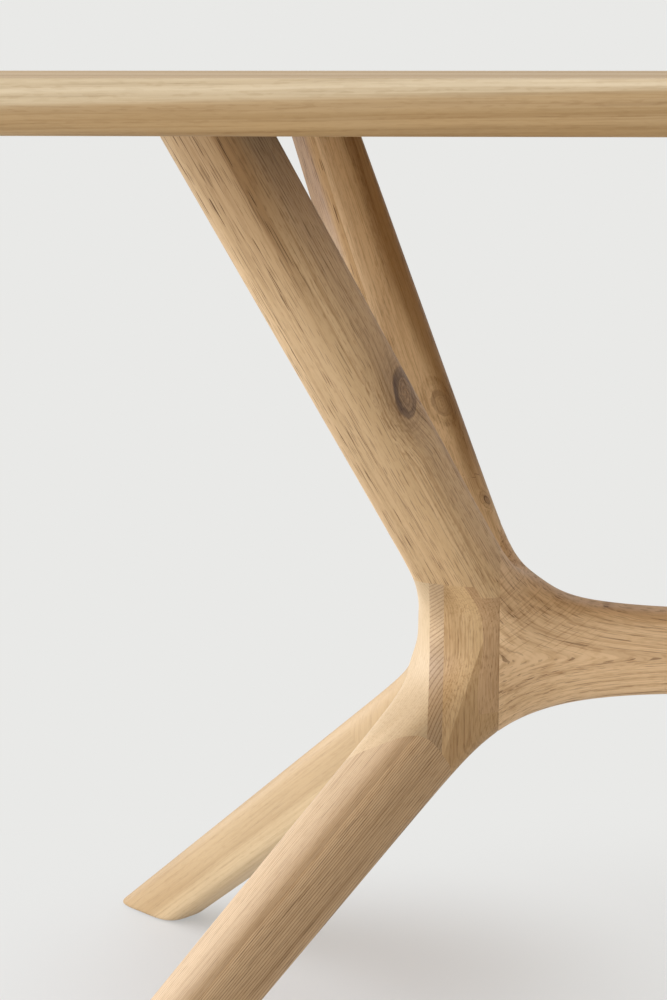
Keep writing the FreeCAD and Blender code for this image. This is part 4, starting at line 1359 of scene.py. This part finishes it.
def tie_marks(sizes):
    """Marks of the stretcher. Its rings fan out with the flared ends: with h the height over the
    axis, as a share of the local half height, and x the distance from the hub, a ring is where
    sqrt(h^2 + round^2) + close (1 - exp(-x / reach)) is constant, so that a few end in arrow
    heads."""
    half = hub_place(sizes)
    middle = tie_level(sizes)

    def place(points):
        """Distance from the hub, height over the axis, and that as a share of the half height."""
        run = half - np.abs(points[:, 0])
        rise = points[:, 2] - middle
        past = run - sizes.shoulder
        swell = np.where(rise > 0, TIE_LIFT * np.exp(-past / LIFT_REACH),
                         TIE_DROP * np.exp(-past / DROP_REACH))
        return run, rise, rise / (TIE_HALF + swell)

    def grain(points):
        run, rise, share = place(points)
        fan = np.hypot(share, ARROW_ROUND) + ARROW_CLOSE * (1 - np.exp(-run / CLOSE_REACH))
        around = SLANT_ACROSS * points[:, 1] + SLANT_UP * rise
        return np.stack([points[:, 0], around, TIE_HEART + TIE_SPACING * fan], -1)

    def tone(points):
        """Darker along the upper edge: partly darker wood and partly painted shade under the top."""
        return Fade(share=0.25, start=0.75, reach=0.25).at(place(points)[2])

    def fleck(points):
        """Rays that lean across the upper part of the flare."""
        run, rise, share = place(points)
        strength = (Fade(share=0.5, start=0.105, reach=-0.04).at(run)
                    * Fade(share=1.0, start=0.0, reach=0.012).at(rise)
                    * Fade(share=1.0, start=0.95, reach=-0.2).at(share))
        return np.stack([run * math.cos(FLECK_LEAN) + rise * math.sin(FLECK_LEAN),
                         rise * math.cos(FLECK_LEAN) - run * math.sin(FLECK_LEAN), strength], -1)

    return {"grain": grain, "tone": tone, "fleck": fleck}


class OAKTABLE_OT_hardware(bpy.types.Operator):
    """Finish the plates, fasteners, dowels and pads"""

    bl_idname = "oaktable.hardware"
    bl_label = "Hardware"

    def execute(self, context):
        colours = context.scene.oak_colours
        painted = mottled("painted_steel", colours.steel, rough=0.55, rate=900.0, depth=0.0002)
        zinc = mottled("zinc_plate", colours.zinc, rough=0.40, rate=1500.0, depth=0.0001, metallic=1.0)
        brass = mottled("turned_brass", colours.brass, rough=0.35, rate=1200.0, depth=0.0001, metallic=1.0)
        beech = mottled("beech", colours.dowel, rough=0.60, rate=700.0, depth=0.0002)
        felt = mottled("felt", colours.felt, rough=0.90, rate=2200.0, depth=0.0005)
        finishes = {"mount_plate": painted, "leg_bolts": zinc, "plate_screws": zinc,
                    "leg_inserts": brass, "dowels": beech, "foot_pads": felt}
        for ending, material in finishes.items():
            found = [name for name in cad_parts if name.endswith(ending)]
            if not found:
                raise RuntimeError("the frame has no piece whose name ends in %s" % ending)
            for name in found:
                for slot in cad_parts[name].material_slots:
                    slot.material = material
        return {"FINISHED"}


class OAKTABLE_OT_stage(bpy.types.Operator):
    """Add the floor, the light and the camera"""

    bl_idname = "oaktable.stage"
    bl_label = "Stage"

    def execute(self, context):
        scene = context.scene
        look = scene.oak_stage
        scene.view_settings.view_transform = "Standard"
        add_camera(scene, look)
        add_world(scene, look)
        add_floor(scene, look)
        add_lamp(scene, look)
        return {"FINISHED"}


# The width of the camera's frame in millimetres, and how far it sees
FRAME_WIDTH, SIGHT = 36.0, 100.0


def add_camera(scene, look):
    """A camera at the eye's place, turned to the left and down."""
    camera = bpy.data.cameras.new("view")
    camera.lens = look.lens
    camera.sensor_width = FRAME_WIDTH
    camera.clip_end = SIGHT
    eye = bpy.data.objects.new("view", camera)
    eye.location = look.eye
    eye.rotation_euler = (math.pi / 2 - look.pitch, 0, look.yaw)
    scene.collection.objects.link(eye)
    scene.camera = eye


def seen_share(start):
    """1 for what the camera sees, straight or in a reflection or through glass, and 0 for light."""
    outputs = start.node("ShaderNodeLightPath").socket.node.outputs
    rays = [Wire(start.tree, outputs[name])
            for name in ("Is Camera Ray", "Is Glossy Ray", "Is Transmission Ray")]
    return rays[0].above(rays[1]).above(rays[2])


def mixed(start, share, first, second):
    """Two shaders mixed by a share of the second."""
    return start.node("ShaderNodeMixShader", None, {0: share, 1: first, 2: second})


def add_world(scene, look):
    """Even light all round; the camera and reflections see the backdrop's colour."""
    world = bpy.data.worlds.new("studio")
    start = empty_nodes(world)
    light = start.node("ShaderNodeBackground", None, {"Color": (1, 1, 1, 1), "Strength": look.sky})
    shown = start.node("ShaderNodeBackground", None, {"Color": tint(look.backdrop)})
    both = mixed(start, seen_share(start), light, shown)
    start.node("ShaderNodeOutputWorld", None, {"Surface": both})
    scene.world = world


# The floor's mesh, the middle of a foot's shadow, and the distances between which the shadow, the
# oval under the table, given by two weights, and the floor itself fade
FLOOR_RADIUS, FLOOR_MIDDLE, FLOOR_RINGS, FLOOR_TURNS = 6.0, 0.02, 40, 96
SHADOW_X, SHADOW_Y = 0.74, 0.13
SHADOW_EDGE = (0.06, 0.34)
TABLE_OVAL = (0.5, 3.3)
TABLE_EDGE = (0.5, 1.2)
FLOOR_EDGE = (2.5, 5.5)
BY_FOOT = 0.7


def add_floor(scene, look):
    """A round floor, clear from below. By the feet it shows the table's soft shadow; further out it
    takes on the backdrop's own colour and fades into it."""
    rings = np.linspace(FLOOR_MIDDLE, FLOOR_RADIUS, FLOOR_RINGS)[:, None]
    turns = np.linspace(0, 2 * math.pi, FLOOR_TURNS, endpoint=False)
    disc = np.stack([rings * np.cos(turns), rings * np.sin(turns), 0 * rings * turns], -1)
    index, quads = ring_quads(disc)
    mesh = bpy.data.meshes.new("floor")
    faces = quads[:, ::-1].tolist() + [index[0].tolist()]
    mesh.from_pydata(disc.reshape(-1, 3).tolist(), [], faces)
    material, start = new_material("floor")
    x, y, _ = start.node("ShaderNodeTexCoord", None, None, "Object").parts()
    along = x.math("ABSOLUTE", x) - SHADOW_X
    across = y - SHADOW_Y
    near = (along * along + across * across).root().step(*SHADOW_EDGE)
    away = (x * x * TABLE_OVAL[0] + y * y * TABLE_OVAL[1]).root().step(*TABLE_EDGE)
    below = start.node("ShaderNodeNewGeometry", None, None, "Backfacing")
    fade = (x * x + y * y).root().step(*FLOOR_EDGE).above(below)
    matt = start.node("ShaderNodeBsdfDiffuse", None, {"Color": tint(look.floor)})
    bounce = start.node("ShaderNodeBsdfDiffuse", None, {"Color": tint(look.bounce)})
    own = start.node("ShaderNodeEmission", None, {"Color": tint(look.backdrop)})
    glow = look.glow + (near * BY_FOOT + away * (1.0 - BY_FOOT)) * (1.0 - look.glow)
    clear = start.node("ShaderNodeBsdfTransparent")
    shown = mixed(start, glow, matt, own)
    solid = mixed(start, seen_share(start), bounce, shown)
    start.node("ShaderNodeOutputMaterial", None, {"Surface": mixed(start, fade, solid, clear)})
    mesh.materials.append(material)
    floor = bpy.data.objects.new("floor", mesh)
    scene.collection.objects.link(floor)


# The lamp's two sides, its place and the point that it faces
LAMP_LONG, LAMP_HIGH = 5.0, 2.1
LAMP_PLACE = Vector((-3.3, -0.1, 1.1))
LAMP_AIM = Vector((-0.6, -0.1, 0.6))


def add_lamp(scene, look):
    """A wall of soft light on the left, out of the camera's sight."""
    lamp = bpy.data.lights.new("key", "AREA")
    lamp.shape = "RECTANGLE"
    lamp.size = LAMP_LONG
    lamp.size_y = LAMP_HIGH
    lamp.energy = look.key
    lamp.color = look.key_tint
    holder = bpy.data.objects.new("key", lamp)
    holder.location = LAMP_PLACE
    holder.rotation_euler = (LAMP_AIM - LAMP_PLACE).to_track_quat("-Z", "Y").to_euler()
    holder.visible_camera = False
    scene.collection.objects.link(holder)


class OAKTABLE_PT_panel(bpy.types.Panel):
    """Lists the table's pieces, sizes and colours"""

    bl_idname = "OAKTABLE_PT_panel"
    bl_label = "Oak table"
    bl_space_type = "VIEW_3D"
    bl_region_type = "UI"
    bl_category = "Oak table"

    def draw(self, context):
        column = self.layout.column(align=True)
        for each in OPERATORS:
            column.operator(each.bl_idname)
        for settings in (context.scene.oak_sizes, context.scene.oak_colours, context.scene.oak_stage):
            box = self.layout.box().column(align=True)
            for name in settings.__annotations__:
                box.prop(settings, name)


OPERATORS = (OAKTABLE_OT_top, OAKTABLE_OT_end_frames, OAKTABLE_OT_stretcher, OAKTABLE_OT_hardware,
             OAKTABLE_OT_stage)
CLASSES = (TableSizes, OakColours, StudioStage) + OPERATORS + (OAKTABLE_PT_panel,)


def register():
    """Registers the classes and hangs their settings on the scene."""
    for each in CLASSES:
        bpy.utils.register_class(each)
    bpy.types.Scene.oak_sizes = bpy.props.PointerProperty(type=TableSizes)
    bpy.types.Scene.oak_colours = bpy.props.PointerProperty(type=OakColours)
    bpy.types.Scene.oak_stage = bpy.props.PointerProperty(type=StudioStage)


def unregister():
    """Removes the settings and the classes."""
    del bpy.types.Scene.oak_stage
    del bpy.types.Scene.oak_colours
    del bpy.types.Scene.oak_sizes
    for each in reversed(CLASSES):
        bpy.utils.unregister_class(each)


def main():
    """Builds the table and its stage."""
    register()
    bpy.ops.oaktable.top()
    bpy.ops.oaktable.end_frames()
    bpy.ops.oaktable.stretcher()
    bpy.ops.oaktable.hardware()
    bpy.ops.oaktable.stage()


if __name__ == "__main__":
    main()
